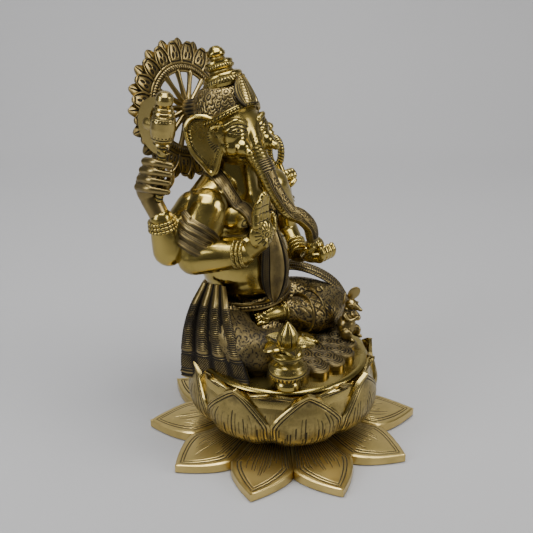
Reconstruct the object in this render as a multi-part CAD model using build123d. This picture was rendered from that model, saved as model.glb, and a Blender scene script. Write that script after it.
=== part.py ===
from build123d import *
import os
from math import cos, pi, radians, sin

# Seated elephant-headed deity in cast brass, on a two-part lotus.
# Millimetres. +Z up, the figure faces -Y, its right side is -X.
# The origin is on the plane the statue rests on, under the middle of its whole outline. Every place
# below is measured from the lotus's own middle, which stands LOTUS_FORWARD in front of the origin.

# ---------------------------------------------------------------- driving sizes
LOTUS_FORWARD = 6.5
# lotus foot
FOOT_REACH = 107.0  # centre to petal point
FOOT_VALLEY = 77.0  # centre to the notch between two petals
FOOT_PETALS = 10
FOOT_EDGE = 6.2  # thickness at the petal points
FOOT_CROWN = 13.0  # height where the bowl stands
FOOT_TURN = 9.8  # the lotus is turned this far about its bolt, in degrees
FOOT_HOLLOW_R = 60.0  # the underside is hollow to here
FOOT_HOLLOW = 5.0
# lotus bowl
BOWL_BASE_R = 45.0
BOWL_BELLY_R = 69.0
BOWL_RIM_R = 66.0
BOWL_HEIGHT = 49.0
BOWL_WALL = 5.0
BOWL_PETALS = 8
BOWL_TURN = 9.8  # the outer petals' turn; the inner row stands half a step on
PETAL_THICK = 4.0
INNER_PETAL_THICK = 2.5
PETAL_DROP = 2.0  # outer petal points end this far under the rim
# seat
SEAT_THICK = 4.0
SEAT_OVERHANG = 1.0
# fixing bolt
BOLT_D = 8.0
BOLT_CLEARANCE = 0.3
BOLT_HEAD_D = 14.0
BOLT_HEAD_H = 5.0
BOLT_GRIP = 12.0  # how far the bolt reaches into the figure
WASHER_D = 24.0
WASHER_THICK = 1.6
# figure
HIP_HALF = (46.0, 36.0, 24.0)
BELLY_HALF = (37.0, 32.0, 36.0)
CHEST_HALF = (40.0, 25.0, 27.0)
BODY_Y = 42.0  # the trunk of the body sits this far behind the middle
SHOULDER_R = 13.5
ARM_R = 10.5
WRIST_R = 6.8
THIGH_R = 19.0
KNEE_R = 17.5
ANKLE_R = 11.0
HEAD_HALF = (25.0, 27.0, 26.0)
HEAD_LEAN = 15.0  # the head, crown and halo lean back, in degrees
TRUNK_R = 9.5
TRUNK_TIP_R = 3.6
EAR_THICK = 3.0
EAR_BACK = 53.0  # the ears point this far back from straight sideways, in degrees
TUSK_R = 3.6
# crown
CROWN_R = 21.0
CROWN_HEIGHT = 17.0
CROWN_BAND = 5.0
# halo
HALO_R = 55.0
HALO_RING_R = 34.0
HALO_OPEN_R = 29.0
HALO_THICK = 4.0
HALO_LEAVES = 20
HALO_SPOKES = 14
SPOKE_R = 1.3
HUB_R = 8.0
HALO_BEHIND = 43.3  # the wheel's middle from the head's
HALO_ABOVE = 19.9
# small castings on the seat
MAT_R = 46.0
MAT_THICK = 5.0
MAT_SCALLOPS = 9
POT_R = 14.0
POT_HEIGHT = 26.0
BALL_PROUD = 1.04  # joint balls stand this much proud of the cones they join
BANGLE_WIRE = 1.5

# ---------------------------------------------------------------- heights that follow
BOWL_Z = FOOT_CROWN
RIM_Z = BOWL_Z + BOWL_HEIGHT
SEAT_Z = RIM_Z + SEAT_THICK
SEAT_R = BOWL_RIM_R + SEAT_OVERHANG


# ---------------------------------------------------------------- helpers
def on_seat(x, y, height):
    """A point at a height above the seat."""
    return Vector(x, y, SEAT_Z + height)


def egg(centre, half, turn=(0, 0, 0)):
    """An ellipsoid with these half-lengths."""
    return Location(centre, turn) * scale(Sphere(1), by=half)


def cone_between(a, b, radius_a, radius_b):
    """A round tapered bar from a to b."""
    length = (b - a).length
    stand = Plane(origin=a, z_dir=b - a)
    low = (Align.CENTER, Align.CENTER, Align.MIN)
    if abs(radius_a - radius_b) < 0.01:
        return stand * Cylinder(radius_a, length, align=low)
    return stand * Cone(radius_a, radius_b, length, align=low)


def limb(joints, radii):
    """A tapered limb through its joints, with a ball at each."""
    made = Pos(joints[0]) * Sphere(radii[0] * BALL_PROUD)
    for a, b, radius_a, radius_b in zip(joints, joints[1:], radii, radii[1:]):
        made = made + cone_between(a, b, radius_a, radius_b)
        made = made + Pos(b) * Sphere(radius_b * BALL_PROUD)
    return made


def biggest(shape):
    """The largest solid of a cut shape."""
    return max(shape.solids(), key=lambda s: s.volume)


def boxes_meet(a, b):
    """Whether the bounding boxes of two shapes overlap."""
    p, q = a.bounding_box(), b.bounding_box()
    lows = zip((p.min.X, p.min.Y, p.min.Z), (q.max.X, q.max.Y, q.max.Z))
    highs = zip((p.max.X, p.max.Y, p.max.Z), (q.min.X, q.min.Y, q.min.Z))
    return all(low < high for low, high in lows) and all(high > low for high, low in highs)


def fitted(piece, *neighbours):
    """The piece with its neighbours' room cut away, so that they meet face to face."""
    for other in neighbours:
        if boxes_meet(piece, other):
            piece = piece - other
    return biggest(piece)


def ring_on(place, radius, wire):
    """A round bangle about a place's z axis."""
    return place * Torus(radius, wire)


def turned(profile):
    """A solid of revolution about Z from (radius, height) points."""
    return revolve(Plane.XZ * make_face(Polyline(*profile, close=True)), Axis.Z)


def leaf_outline(length, half_width, shoulder):
    """A pointed leaf from the origin along +Y, widest at the shoulder share of its length."""
    wide = length * shoulder
    edge = Spline((0, 0), (half_width, wide), (0, length), tangents=[(1, 0.15), (-1, 1.3)])
    other = mirror(edge, Plane.YZ)
    return make_face([edge, other])


# ---------------------------------------------------------------- lotus
def foot_plate():
    """The flat lotus foot: a star of pointed petals that rises to the bowl."""
    half = pi / FOOT_PETALS
    edges = []
    for n in range(FOOT_PETALS):
        tip = n * 2 * half
        ends = [(FOOT_VALLEY, tip - half), (FOOT_REACH, tip), (FOOT_VALLEY, tip + half)]
        left, point, right = [Vector(r * cos(a), r * sin(a)) for r, a in ends]
        bulge = (FOOT_REACH + FOOT_VALLEY) / 2 + 2
        near = [Vector(bulge * cos(tip + s * half * 0.62), bulge * sin(tip + s * half * 0.62)) for s in (-1, 1)]
        edges += [ThreePointArc(left, near[0], point), ThreePointArc(point, near[1], right)]
    star = extrude(make_face(edges), FOOT_CROWN)
    rise = turned([(0, 0), (FOOT_REACH + 1, 0), (FOOT_REACH + 1, FOOT_EDGE), (FOOT_VALLEY, FOOT_EDGE + 1.6),
                   (BOWL_BASE_R, FOOT_CROWN), (0, FOOT_CROWN)])
    hollow = turned([(0, 0), (FOOT_HOLLOW_R, 0), (FOOT_HOLLOW_R - FOOT_HOLLOW, FOOT_HOLLOW), (0, FOOT_HOLLOW)])
    hole = Cylinder(BOLT_D / 2 + BOLT_CLEARANCE, 4 * FOOT_CROWN)
    return Rot(0, 0, FOOT_TURN - 90) * ((star & rise) - hollow - hole)


def bowl_profile(grow):
    """The bowl's outer curve, pushed out by grow, from its base to its rim."""
    return [
        (BOWL_BASE_R + grow, BOWL_Z),
        (BOWL_BELLY_R - 5 + grow, BOWL_Z + 0.28 * BOWL_HEIGHT),
        (BOWL_BELLY_R + grow, BOWL_Z + 0.62 * BOWL_HEIGHT),
        (BOWL_RIM_R + grow, RIM_Z),
    ]


def shell_between(inner, outer):
    """A wall of revolution between two offsets of the bowl's curve."""
    a, b = bowl_profile(inner), bowl_profile(outer)
    wall = [Spline(*a), Line(a[-1], b[-1]), Spline(*b), Line(b[0], a[0])]
    return revolve(Plane.XZ * make_face(wall), Axis.Z)


def lotus_bowl():
    """The cup of the lotus: a curved wall on a floor with the bolt's hole."""
    low = (Align.CENTER, Align.CENTER, Align.MIN)
    floor = Pos(0, 0, BOWL_Z) * Cylinder(BOWL_BASE_R - BOWL_WALL + 2, BOWL_WALL, align=low)
    hole = Pos(0, 0, BOWL_Z) * Cylinder(BOLT_D / 2 + BOLT_CLEARANCE, 3 * BOWL_WALL)
    return (shell_between(-BOWL_WALL, 0) + floor) - hole


def bowl_petal(inner, outer, half_width, drop):
    """One upright petal, cut from a wall of revolution by its leaf outline."""
    length = BOWL_HEIGHT - drop
    leaf = Plane(origin=(0, 0, BOWL_Z), x_dir=(0, 1, 0), z_dir=(1, 0, 0)) * leaf_outline(length, half_width, 0.62)
    return biggest(shell_between(inner, outer) & extrude(leaf, BOWL_BELLY_R + 3 * PETAL_THICK))


def petal_ring(petal, turn):
    """The petal repeated around the bowl."""
    return [Rot(0, 0, turn - 90 + n * 360 / BOWL_PETALS) * petal for n in range(BOWL_PETALS)]


def inner_petals():
    """The row of petals that shows between the outer ones."""
    half_width = BOWL_BELLY_R * pi / BOWL_PETALS - 1.5
    half_step = 180 / BOWL_PETALS
    return petal_ring(bowl_petal(0.0, INNER_PETAL_THICK, half_width, 0.0), BOWL_TURN + half_step)


def outer_petals():
    """The row of broad petals in front."""
    half_width = BOWL_BELLY_R * pi / BOWL_PETALS - 1.0
    return petal_ring(bowl_petal(INNER_PETAL_THICK, INNER_PETAL_THICK + PETAL_THICK, half_width, PETAL_DROP), BOWL_TURN)


def seat_disc():
    hole = Pos(0, 0, RIM_Z) * Cylinder(BOLT_D / 2 + BOLT_CLEARANCE, 3 * SEAT_THICK)
    return Pos(0, 0, RIM_Z) * Cylinder(SEAT_R, SEAT_THICK, align=(Align.CENTER, Align.CENTER, Align.MIN)) - hole


def tie_washer():
    ring = Cylinder(WASHER_D / 2, WASHER_THICK) - Cylinder(BOLT_D / 2 + BOLT_CLEARANCE, WASHER_THICK)
    return Pos(0, 0, FOOT_HOLLOW - WASHER_THICK / 2) * ring


def tie_bolt():
    """The bolt that draws the lotus and the figure together, its head in the hollow foot."""
    low = (Align.CENTER, Align.CENTER, Align.MIN)
    head_z = FOOT_HOLLOW - WASHER_THICK
    head_h = min(BOLT_HEAD_H, head_z)
    head = Pos(0, 0, head_z - head_h) * extrude(RegularPolygon(BOLT_HEAD_D / 2, 6), head_h)
    shank = Pos(0, 0, head_z) * Cylinder(BOLT_D / 2, SEAT_Z + BOLT_GRIP - head_z, align=low)
    return head + shank


# ---------------------------------------------------------------- small castings
def foot_mat():
    """A scalloped mat on the front half of the seat."""
    mat = Circle(MAT_R)
    for n in range(MAT_SCALLOPS):
        angle = -pi + (n + 0.5) * pi / MAT_SCALLOPS
        mat = mat + Pos(MAT_R * cos(angle), MAT_R * sin(angle)) * Circle(MAT_R * pi / MAT_SCALLOPS * 0.56)
    front = mat & (Pos(0, -MAT_R - BOLT_D - 1) * Rectangle(4 * MAT_R, 2 * MAT_R))
    return Pos(5, 0, SEAT_Z) * extrude(front, MAT_THICK)


def pot_place():
    """Where the pot stands, in front of the right knee."""
    return on_seat(-41, -38, 0)


def pot_body():
    """A round-bellied offering pot with a neck and a flared lip."""
    r, h = POT_R, POT_HEIGHT
    outline = [(0, 0), (0.6 * r, 0), (0.66 * r, 0.1 * h), (0.55 * r, 0.2 * h), (0.9 * r, 0.32 * h), (r, 0.5 * h),
               (0.88 * r, 0.66 * h), (0.6 * r, 0.78 * h), (0.58 * r, 0.86 * h), (0.85 * r, 0.95 * h), (0.85 * r, h), (0, h)]
    return Pos(pot_place()) * turned(outline)


def pot_leaves():
    """Leaves that stand out around the pot's mouth."""
    made = []
    top = pot_place() + Vector(0, 0, POT_HEIGHT)
    collar = Pos(top) * Cylinder(0.55 * POT_R, 3.0, align=(Align.CENTER, Align.CENTER, Align.MIN))
    for n in range(5):
        turn = Pos(top) * Rot(0, 0, 72 * n + 20)
        leaf = turn * Location((0.3 * POT_R, 0, 3.2), (0, -14, 0)) * scale(Sphere(1), by=(0.95 * POT_R, 0.36 * POT_R, 1.6))
        made.append(leaf)
    for leaf in made:
        collar = collar + leaf
    below = Pos(pot_place()) * Cylinder(3 * POT_R, POT_HEIGHT, align=(Align.CENTER, Align.CENTER, Align.MIN))
    return biggest(collar - below)


def pot_coconut():
    """The pointed nut that stands in the leaves."""
    foot = pot_place() + Vector(0, 0, POT_HEIGHT + 3)
    outline = [(0, 0), (0.42 * POT_R, 0), (0.5 * POT_R, 5), (0.4 * POT_R, 10), (0.14 * POT_R, 15.5), (0, 17)]
    return Pos(foot) * turned(outline)


def mouse_place():
    """Where the mouse sits, at the front left of the seat."""
    return on_seat(42, -31, 0)


def mouse_body():
    """The mouse sitting up, with its haunches and folded arms."""
    foot = mouse_place() + Vector(0, 0, MAT_THICK)
    body = egg(foot + Vector(0, 2, 10), (8, 8.5, 12))
    body = body + egg(foot + Vector(0, -1, 19), (6.2, 6, 8))
    for side in (-1, 1):
        body = body + egg(foot + Vector(side * 6, -3, 4.5), (3.6, 7.5, 5))
        body = body + limb([foot + Vector(side * 6, 0, 21), foot + Vector(side * 2.5, -7.5, 18)], [2.2, 1.8])
    floor = Pos(foot) * Box(60, 60, 40, align=(Align.CENTER, Align.CENTER, Align.MAX))
    return biggest(body - floor)


def mouse_head():
    """The mouse's head, with its snout and two round ears."""
    foot = mouse_place() + Vector(0, 0, MAT_THICK)
    head = egg(foot + Vector(0, -3, 29), (5.8, 6.5, 5.2))
    head = head + limb([foot + Vector(0, -6, 28.5), foot + Vector(0, -12, 26.5)], [3.6, 1.6])
    for side in (-1, 1):
        head = head + egg(foot + Vector(side * 6.4, 0.5, 34), (4.2, 1.4, 5.2), (0, side * 24, 0))
    return head


# ---------------------------------------------------------------- figure
HIP = on_seat(0, BODY_Y - 2, 12)
BELLY = on_seat(0, BODY_Y - 4, 64)
CHEST = on_seat(0, BODY_Y + 4, 106)
HEAD = on_seat(0, BODY_Y + 13, 166)
SEAT_FLOOR_DEPTH = 80.0


def seat_below():
    """Everything under the seat's top, to cut flat what sits on it."""
    return Pos(0, 0, SEAT_Z) * Box(400, 400, SEAT_FLOOR_DEPTH, align=(Align.CENTER, Align.CENTER, Align.MAX))


def dhoti_seat():
    """The cloth-wrapped hips, with the bolt's threaded hole."""
    hips = egg(HIP, HIP_HALF) + egg(HIP + Vector(0, 5, 22), (HIP_HALF[0] - 9, HIP_HALF[1] - 8, 20))
    top = Pos(0, 0, SEAT_Z + 46) * Box(400, 400, 100, align=(Align.CENTER, Align.CENTER, Align.MIN))
    hole = Pos(0, 0, SEAT_Z) * Cylinder(BOLT_D / 2 + 0.05, 2 * BOLT_GRIP + 1)
    pad = Pos(0, 0, SEAT_Z) * Cylinder(BOLT_D, BOLT_GRIP + 5, align=(Align.CENTER, Align.CENTER, Align.MIN))
    link = Pos(0, BODY_Y / 2, SEAT_Z) * Box(2 * BOLT_D, BODY_Y, BOLT_GRIP + 4, align=(Align.CENTER, Align.CENTER, Align.MIN))
    return biggest(hips + pad + link - seat_below() - top - hole)


def waist_belt():
    """The belt between the cloth and the belly."""
    rx, ry = BELLY_HALF[0] - 1, BELLY_HALF[1] - 1
    low = SEAT_Z + 40
    outer = Pos(0, BODY_Y - 2, low) * extrude(Ellipse(rx, ry), 6)
    inner = Pos(0, BODY_Y - 2, low) * extrude(Ellipse(rx - 6, ry - 6), 6)
    return outer - inner


def torso():
    """Belly, chest, shoulders and neck."""
    body = egg(BELLY, BELLY_HALF) + egg(CHEST, CHEST_HALF)
    neck = cone_between(CHEST + Vector(0, 2, 10), HEAD - Vector(0, 0, 12), 19, 15)
    return body + neck


def knee(side):
    return on_seat(side * 59, 3, KNEE_R)


def leg(side, shin_end, radii):
    """Thigh from the hip to the knee and shin back towards the middle."""
    hip = on_seat(side * 26, BODY_Y - 4, THIGH_R)
    return limb([hip, knee(side), shin_end], radii)


LEFT_ANKLE = on_seat(8, 8, 28)
RIGHT_ANKLE = on_seat(-4, -6, 11)


def foot(ankle, toe, size):
    """A foot from its ankle's ball to its toes, which stand in a row."""
    reach = ANKLE_R * BALL_PROUD
    along = (toe - ankle).normalized()
    length = (toe - ankle).length - reach + size
    sole = turned([(0, 0), (size, 0), (0.92 * size, 0.45 * length), (0.7 * size, 0.8 * length), (0, 0.8 * length)])
    low = (Align.CENTER, Align.CENTER, Align.MIN)
    for n in range(-2, 3):
        sole = sole + Pos(0.3 * n * size, 0, 0.7 * length) * Cylinder(0.16 * size, 0.3 * length, align=low)
    across = Vector(0, 0, 1).cross(along)
    return Plane(origin=ankle + along * reach, x_dir=across, z_dir=along) * sole


def shin_hem():
    """The bordered hem of the cloth around the left shin."""
    middle = LEFT_ANKLE + (knee(1) - LEFT_ANKLE) * 0.42
    along = (knee(1) - LEFT_ANKLE).normalized()
    place = Plane(origin=middle, z_dir=along)
    share = 0.42
    radius = ANKLE_R + (KNEE_R - ANKLE_R) * share
    return place * (Cylinder(radius + 2.6, 9) - Cylinder(radius - 1.0, 9))


# arm joints: shoulder, elbow, wrist and the middle of the palm
ARMS = {
    "front_right": [on_seat(-37, BODY_Y + 4, 116), on_seat(-57, 37, 85), on_seat(-40, 4, 91), on_seat(-37, -7, 112)],
    "rear_right": [on_seat(-40, BODY_Y + 12, 114), on_seat(-68, 53, 87), on_seat(-71, 56, 115), on_seat(-72, 63, 132)],
    "front_left": [on_seat(37, BODY_Y + 4, 116), on_seat(54, 47, 74), on_seat(46, 22, 60), on_seat(42, 3, 68)],
    "rear_left": [on_seat(40, BODY_Y + 12, 114), on_seat(63, 56, 80), on_seat(66, 55, 98), on_seat(66, 57, 112)],
}


def arm(name):
    shoulder, elbow, wrist, palm = ARMS[name]
    return limb([shoulder, elbow, wrist], [SHOULDER_R, ARM_R, WRIST_R])


def palm_slab(palm, across, facing, half, wrist):
    """A rounded slab for the palm and its heel back to the wrist."""
    slab = extrude(RectangleRounded(1.9 * half, 2.1 * half, 0.5 * half), 0.45 * half, both=True)
    heel = cone_between(wrist, palm, WRIST_R - 0.8, half * 0.42)
    return Plane(origin=palm, x_dir=across, z_dir=facing) * slab + heel


def open_hand(palm, up, across, facing, half, wrist):
    """A flat hand: palm, four straight fingers along up, and a thumb on the across side."""
    made = palm_slab(palm, across, facing, half, wrist)
    for n in range(4):
        root = palm + up * half * 0.75 + across * (n - 1.5) * half * 0.5
        reach = half * (1.45 - 0.16 * abs(n - 1.6))
        made = made + limb([root, root + up * reach], [half * 0.25, half * 0.2])
    thumb = palm + across * half * 0.7 - up * half * 0.2
    made = made + limb([thumb, thumb + (across * 0.65 + up).normalized() * half * 1.1], [half * 0.3, half * 0.22])
    return made


def curled_hand(palm, up, across, facing, half, wrist):
    """A hand closed on a handle: palm and four bent fingers."""
    made = palm_slab(palm, across, facing, half, wrist)
    for n in range(4):
        root = palm + up * half * (0.8 - 0.15 * abs(n - 1.5)) + across * (n - 1.5) * half * 0.5
        bend = root + facing * half * 0.8 + up * half * 0.15
        made = made + limb([root, bend, bend - up * half * 0.6], [half * 0.27, half * 0.25, half * 0.2])
    return made


UP, FORWARD, LEFT = Vector(0, 0, 1), Vector(0, -1, 0), Vector(1, 0, 0)


def hand(name):
    """A hand by the name of its arm."""
    shoulder, elbow, wrist, palm = ARMS[name]
    if name == "front_right":
        return open_hand(palm, UP, LEFT, FORWARD, 9.5, wrist)
    if name == "front_left":
        return open_hand(palm, FORWARD, LEFT * -1, UP, 9.0, wrist)
    return curled_hand(palm, UP, LEFT, FORWARD, 8.3, wrist)


def bangles(name):
    """Three bangles around a wrist, as one casting."""
    shoulder, elbow, wrist, palm = ARMS[name]
    along = (elbow - wrist).normalized()
    made = None
    for n in range(3):
        centre = wrist + along * (1.5 + n * BANGLE_WIRE * 1.6)
        radius = WRIST_R + 0.6 + 0.4 * n
        place = Plane(origin=centre, z_dir=along)
        ring = place * (Cylinder(radius + BANGLE_WIRE, 2 * BANGLE_WIRE) - Cylinder(radius - 1.5, 2 * BANGLE_WIRE))
        made = ring if made is None else made + ring
    return made


# ---------------------------------------------------------------- head
def head_place(x, y, z):
    """A point in the head's own frame, which leans back."""
    lean = radians(HEAD_LEAN)
    return HEAD + Vector(x, y * cos(lean) + z * sin(lean), z * cos(lean) - y * sin(lean))


def head_frame(x=0, y=0, z=0):
    """The head's frame moved to a point, as a location."""
    return Location(head_place(x, y, z), (-HEAD_LEAN, 0, 0))


def head():
    """Skull, brow, cheeks and the mouth under the trunk's root."""
    skull = egg(HEAD, HEAD_HALF, (-HEAD_LEAN, 0, 0))
    for side in (-1, 1):
        skull = skull + egg(head_place(side * 11, -14, -6), (12, 13, 13))
    mouth = egg(head_place(0, -13, -19), (8, 10, 6))
    return skull + mouth


TRUNK_LINE = [
    head_place(0, -25, -2),
    on_seat(0, 13, 140),
    on_seat(1, 2, 122),
    on_seat(6, -5, 110),
    on_seat(16, -11, 104),
    on_seat(28, -12, 96),
    on_seat(35, -6, 86),
]


def trunk_radii(grow=0.0):
    """Radii along the trunk, from its root to its tip."""
    last = len(TRUNK_LINE) - 1
    return [TRUNK_R + (TRUNK_TIP_R - TRUNK_R) * n / last + grow for n in range(last + 1)]


def trunk():
    return limb(TRUNK_LINE, trunk_radii())


def trunk_plate():
    """The engraved plate along the front of the trunk."""
    joints = [p + Vector(0, -2.6, 1.4) for p in TRUNK_LINE[1:5]]
    return limb(joints, [r - 1.2 for r in trunk_radii()[1:5]])


def ear(side):
    """A broad leaf-shaped ear, opening sideways and backwards."""
    outline = make_face(Spline((0, 15), (14, 19), (28, 14), (30, -4), (17, -27), (5, -14), (-1, 0), (0, 15)))
    plate = extrude(outline, EAR_THICK / 2, both=True)
    swing = EAR_BACK if side > 0 else 180 - EAR_BACK
    return head_frame(side * 18, -4, 0) * Rot(0, 0, swing) * Rot(90, 0, 0) * plate


def tusk(side, length):
    """A tusk that leaves the cheek beside the trunk."""
    root = head_place(side * 13, -22, -10)
    tip = root + Vector(side * 2, -length * 0.75, -length * 0.55)
    return limb([root, tip], [TUSK_R, TUSK_R * 0.45])


# ---------------------------------------------------------------- crown
CROWN_Y = -5.0
CROWN_Z = 14.0


def crown_frame(height=0.0):
    return head_frame(0, CROWN_Y, CROWN_Z + height)


def crown_band():
    """The jewelled band on the brow."""
    low = (Align.CENTER, Align.CENTER, Align.MIN)
    return crown_frame() * (Cylinder(CROWN_R + 2, CROWN_BAND, align=low) - Cylinder(CROWN_R - 3, CROWN_BAND, align=low))


def crown_dome():
    """The body of the crown above the band."""
    outline = [(0, 0), (CROWN_R, 0), (CROWN_R - 1.5, 0.5 * CROWN_HEIGHT), (CROWN_R - 6, 0.85 * CROWN_HEIGHT),
               (CROWN_R - 9, CROWN_HEIGHT), (0, CROWN_HEIGHT)]
    return crown_frame(CROWN_BAND) * turned(outline)


def crown_finial():
    """Stacked rings and a bud on top of the crown."""
    outline = [(0, 0), (11, 0), (13.5, 2), (13.5, 5), (9.5, 6.5), (9, 8), (11, 9.5), (11, 13), (6, 15),
               (6.2, 16.5), (6.6, 19), (3.5, 22.5), (0, 24)]
    return crown_frame(CROWN_BAND + CROWN_HEIGHT) * turned(outline)


def crown_crest():
    """The leaf that stands at the front of the crown."""
    leaf = extrude(leaf_outline(24, 9, 0.4), 2.5)
    return crown_frame(2) * Pos(0, -CROWN_R - 0.5, 0) * Rot(80, 0, 0) * leaf


# ---------------------------------------------------------------- halo
def halo_frame():
    """The halo's frame: its z axis comes forward out of the wheel."""
    return head_frame(0, HALO_BEHIND, HALO_ABOVE) * Rot(90, 0, 0)


def halo_leaves():
    """The border of pointed leaves around the wheel."""
    low = (Align.CENTER, Align.CENTER, Align.CENTER)
    rim = Cylinder(HALO_R - 8, HALO_THICK, align=low)
    step = 360 / HALO_LEAVES
    leaf_w = HALO_R * pi / HALO_LEAVES
    leaf = extrude(leaf_outline(15, leaf_w, 0.35), HALO_THICK / 2, both=True)
    made = rim
    for n in range(HALO_LEAVES):
        made = made + Rot(0, 0, n * step) * Pos(0, HALO_R - 15, 0) * leaf
    return halo_frame() * (made - Cylinder(HALO_RING_R, 2 * HALO_THICK))


def halo_rope():
    """The roped ring inside the leaves."""
    return halo_frame() * (Cylinder(HALO_RING_R, HALO_THICK + 1.5) - Cylinder(HALO_OPEN_R, HALO_THICK + 1.5))


def halo_spokes():
    """Spokes from the hub to the roped ring, one solid each."""
    between = Cylinder(HALO_OPEN_R, HALO_THICK) - Cylinder(HUB_R, HALO_THICK)
    spoke = biggest(between & Pos(0, HALO_OPEN_R / 2, 0) * Box(2 * SPOKE_R, HALO_OPEN_R + HUB_R, 2 * SPOKE_R))
    return [halo_frame() * Rot(0, 0, n * 360 / HALO_SPOKES) * spoke for n in range(HALO_SPOKES)]


def halo_hub():
    """The hub and the stem that carries the wheel off the back of the head."""
    low = (Align.CENTER, Align.CENTER, Align.MIN)
    boss = Pos(0, 0, -3) * Cylinder(HUB_R, 6, align=low)
    stem = Pos(0, 0, 3) * Cone(HUB_R - 0.5, HUB_R - 3, HALO_BEHIND + 1, align=low)
    return halo_frame() * (boss + stem)


# ---------------------------------------------------------------- what the hands hold
def axe_line():
    """Bottom and top of the axe's handle, through the rear right hand."""
    palm = ARMS["rear_right"][3]
    return palm + Vector(0, -9, -10), palm + Vector(0, -11, 32)


def axe_handle():
    low, high = axe_line()
    return cone_between(low, high, 2.2, 2.6)


def axe_socket():
    """The barrel of the axe with its finial."""
    low, high = axe_line()
    place = Plane(origin=high, z_dir=high - low)
    r = 8.5
    outline = [(0, 0), (5, 0), (r * 0.9, 3), (r, 9), (r, 19), (r * 0.8, 25), (5, 27), (6.5, 30), (6, 33), (3, 37), (0, 38.5)]
    return place * turned(outline)


def axe_blade():
    """The crescent blade behind the socket."""
    low, high = axe_line()
    middle = high + (high - low).normalized() * 14
    crescent = Pos(13, 0) * Circle(20) - Pos(-6, 0) * Circle(20)
    web = Pos(10, 0) * Rectangle(10, 12)
    plate = extrude(crescent + web, 1.6, both=True)
    return Plane(origin=middle, x_dir=(0, 1, 0), z_dir=(1, 0, 0)) * plate


def noose():
    """The looped noose and its bud in the rear left hand."""
    palm = ARMS["rear_left"][3]
    base = palm + Vector(0, -7, 4)
    loop = Plane(origin=base + Vector(0, 5, 16), z_dir=(1, 0, 0)) * scale(Torus(8.0, 3.0), by=(0.8, 1.45, 1.0))
    bud = limb([base + Vector(0, 8, 28), base + Vector(0, 10, 37)], [5, 3])
    stem = limb([base, base + Vector(0, 2, 6)], [3, 3])
    return loop + bud + stem


def sweet_bowl():
    """The sweet on the front left palm."""
    palm = ARMS["front_left"][3]
    foot_point = palm + Vector(0, 0, 3)
    outline = [(0, 0), (4, 0), (7.5, 3), (8, 5.5), (6, 8), (3, 10.5), (0, 12)]
    return Pos(foot_point) * turned(outline)


# ---------------------------------------------------------------- cloth that is cast with the figure
def right_sash():
    """The pleated sash that falls from the right hip over the thigh to the seat's edge."""
    rows = [((-43, 33, 54), 18, 7), ((-58, 30, 36), 34, 8), ((-67, 24, 14), 50, 9), ((-69, 20, 0.3), 60, 9)]
    faces = []
    for (x, y, height), width, thick in rows:
        stand = Plane(origin=on_seat(x, y, height), x_dir=(0, 1, 0), z_dir=(0, 0, 1))
        faces.append(stand * RectangleRounded(width, thick, thick * 0.4))
    return loft(Sketch() + faces)


def left_sash():
    """The sash that arches from the left arm over the knee to the seat."""
    line = Spline(on_seat(47, 42, 50), on_seat(62, 22, 44), on_seat(76, 0, 26), on_seat(72, -14, 8))
    start = Plane(origin=line @ 0, z_dir=line % 0, x_dir=(0, 0, 1))
    return sweep(start * RectangleRounded(4.5, 12, 1.8), path=line)


def front_scarf():
    """The pointed scarf end that hangs down the belly."""
    leaf = extrude(leaf_outline(64, 13, 0.45), 3.5)
    place = Plane(origin=on_seat(-4, 6.5, 44), x_dir=(1, 0, 0), z_dir=(0, -1, 0.06))
    return place * leaf


def collar_sash():
    """The broad bordered band around the neck that comes down both sides of the chest."""
    low = on_seat(-2, 12, 96)
    sides = []
    for side in (-1, 1):
        sides.append(limb([on_seat(side * 25, 37, 134), on_seat(side * 17, 21, 117), low], [6.5, 6.5, 6.0]))
    return sides[0] + sides[1]


def shoulder_shawl():
    """The pleated shawl over the upper right arm."""
    shoulder, elbow = ARMS["front_right"][:2]
    along = (elbow - shoulder).normalized()
    made = None
    for n in range(3):
        place = Plane(origin=shoulder + along * (4 + 7 * n), z_dir=along)
        ring = place * Cylinder(SHOULDER_R + 2.2 - 0.9 * n, 6.2)
        made = ring if made is None else made + ring
    return made


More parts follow.
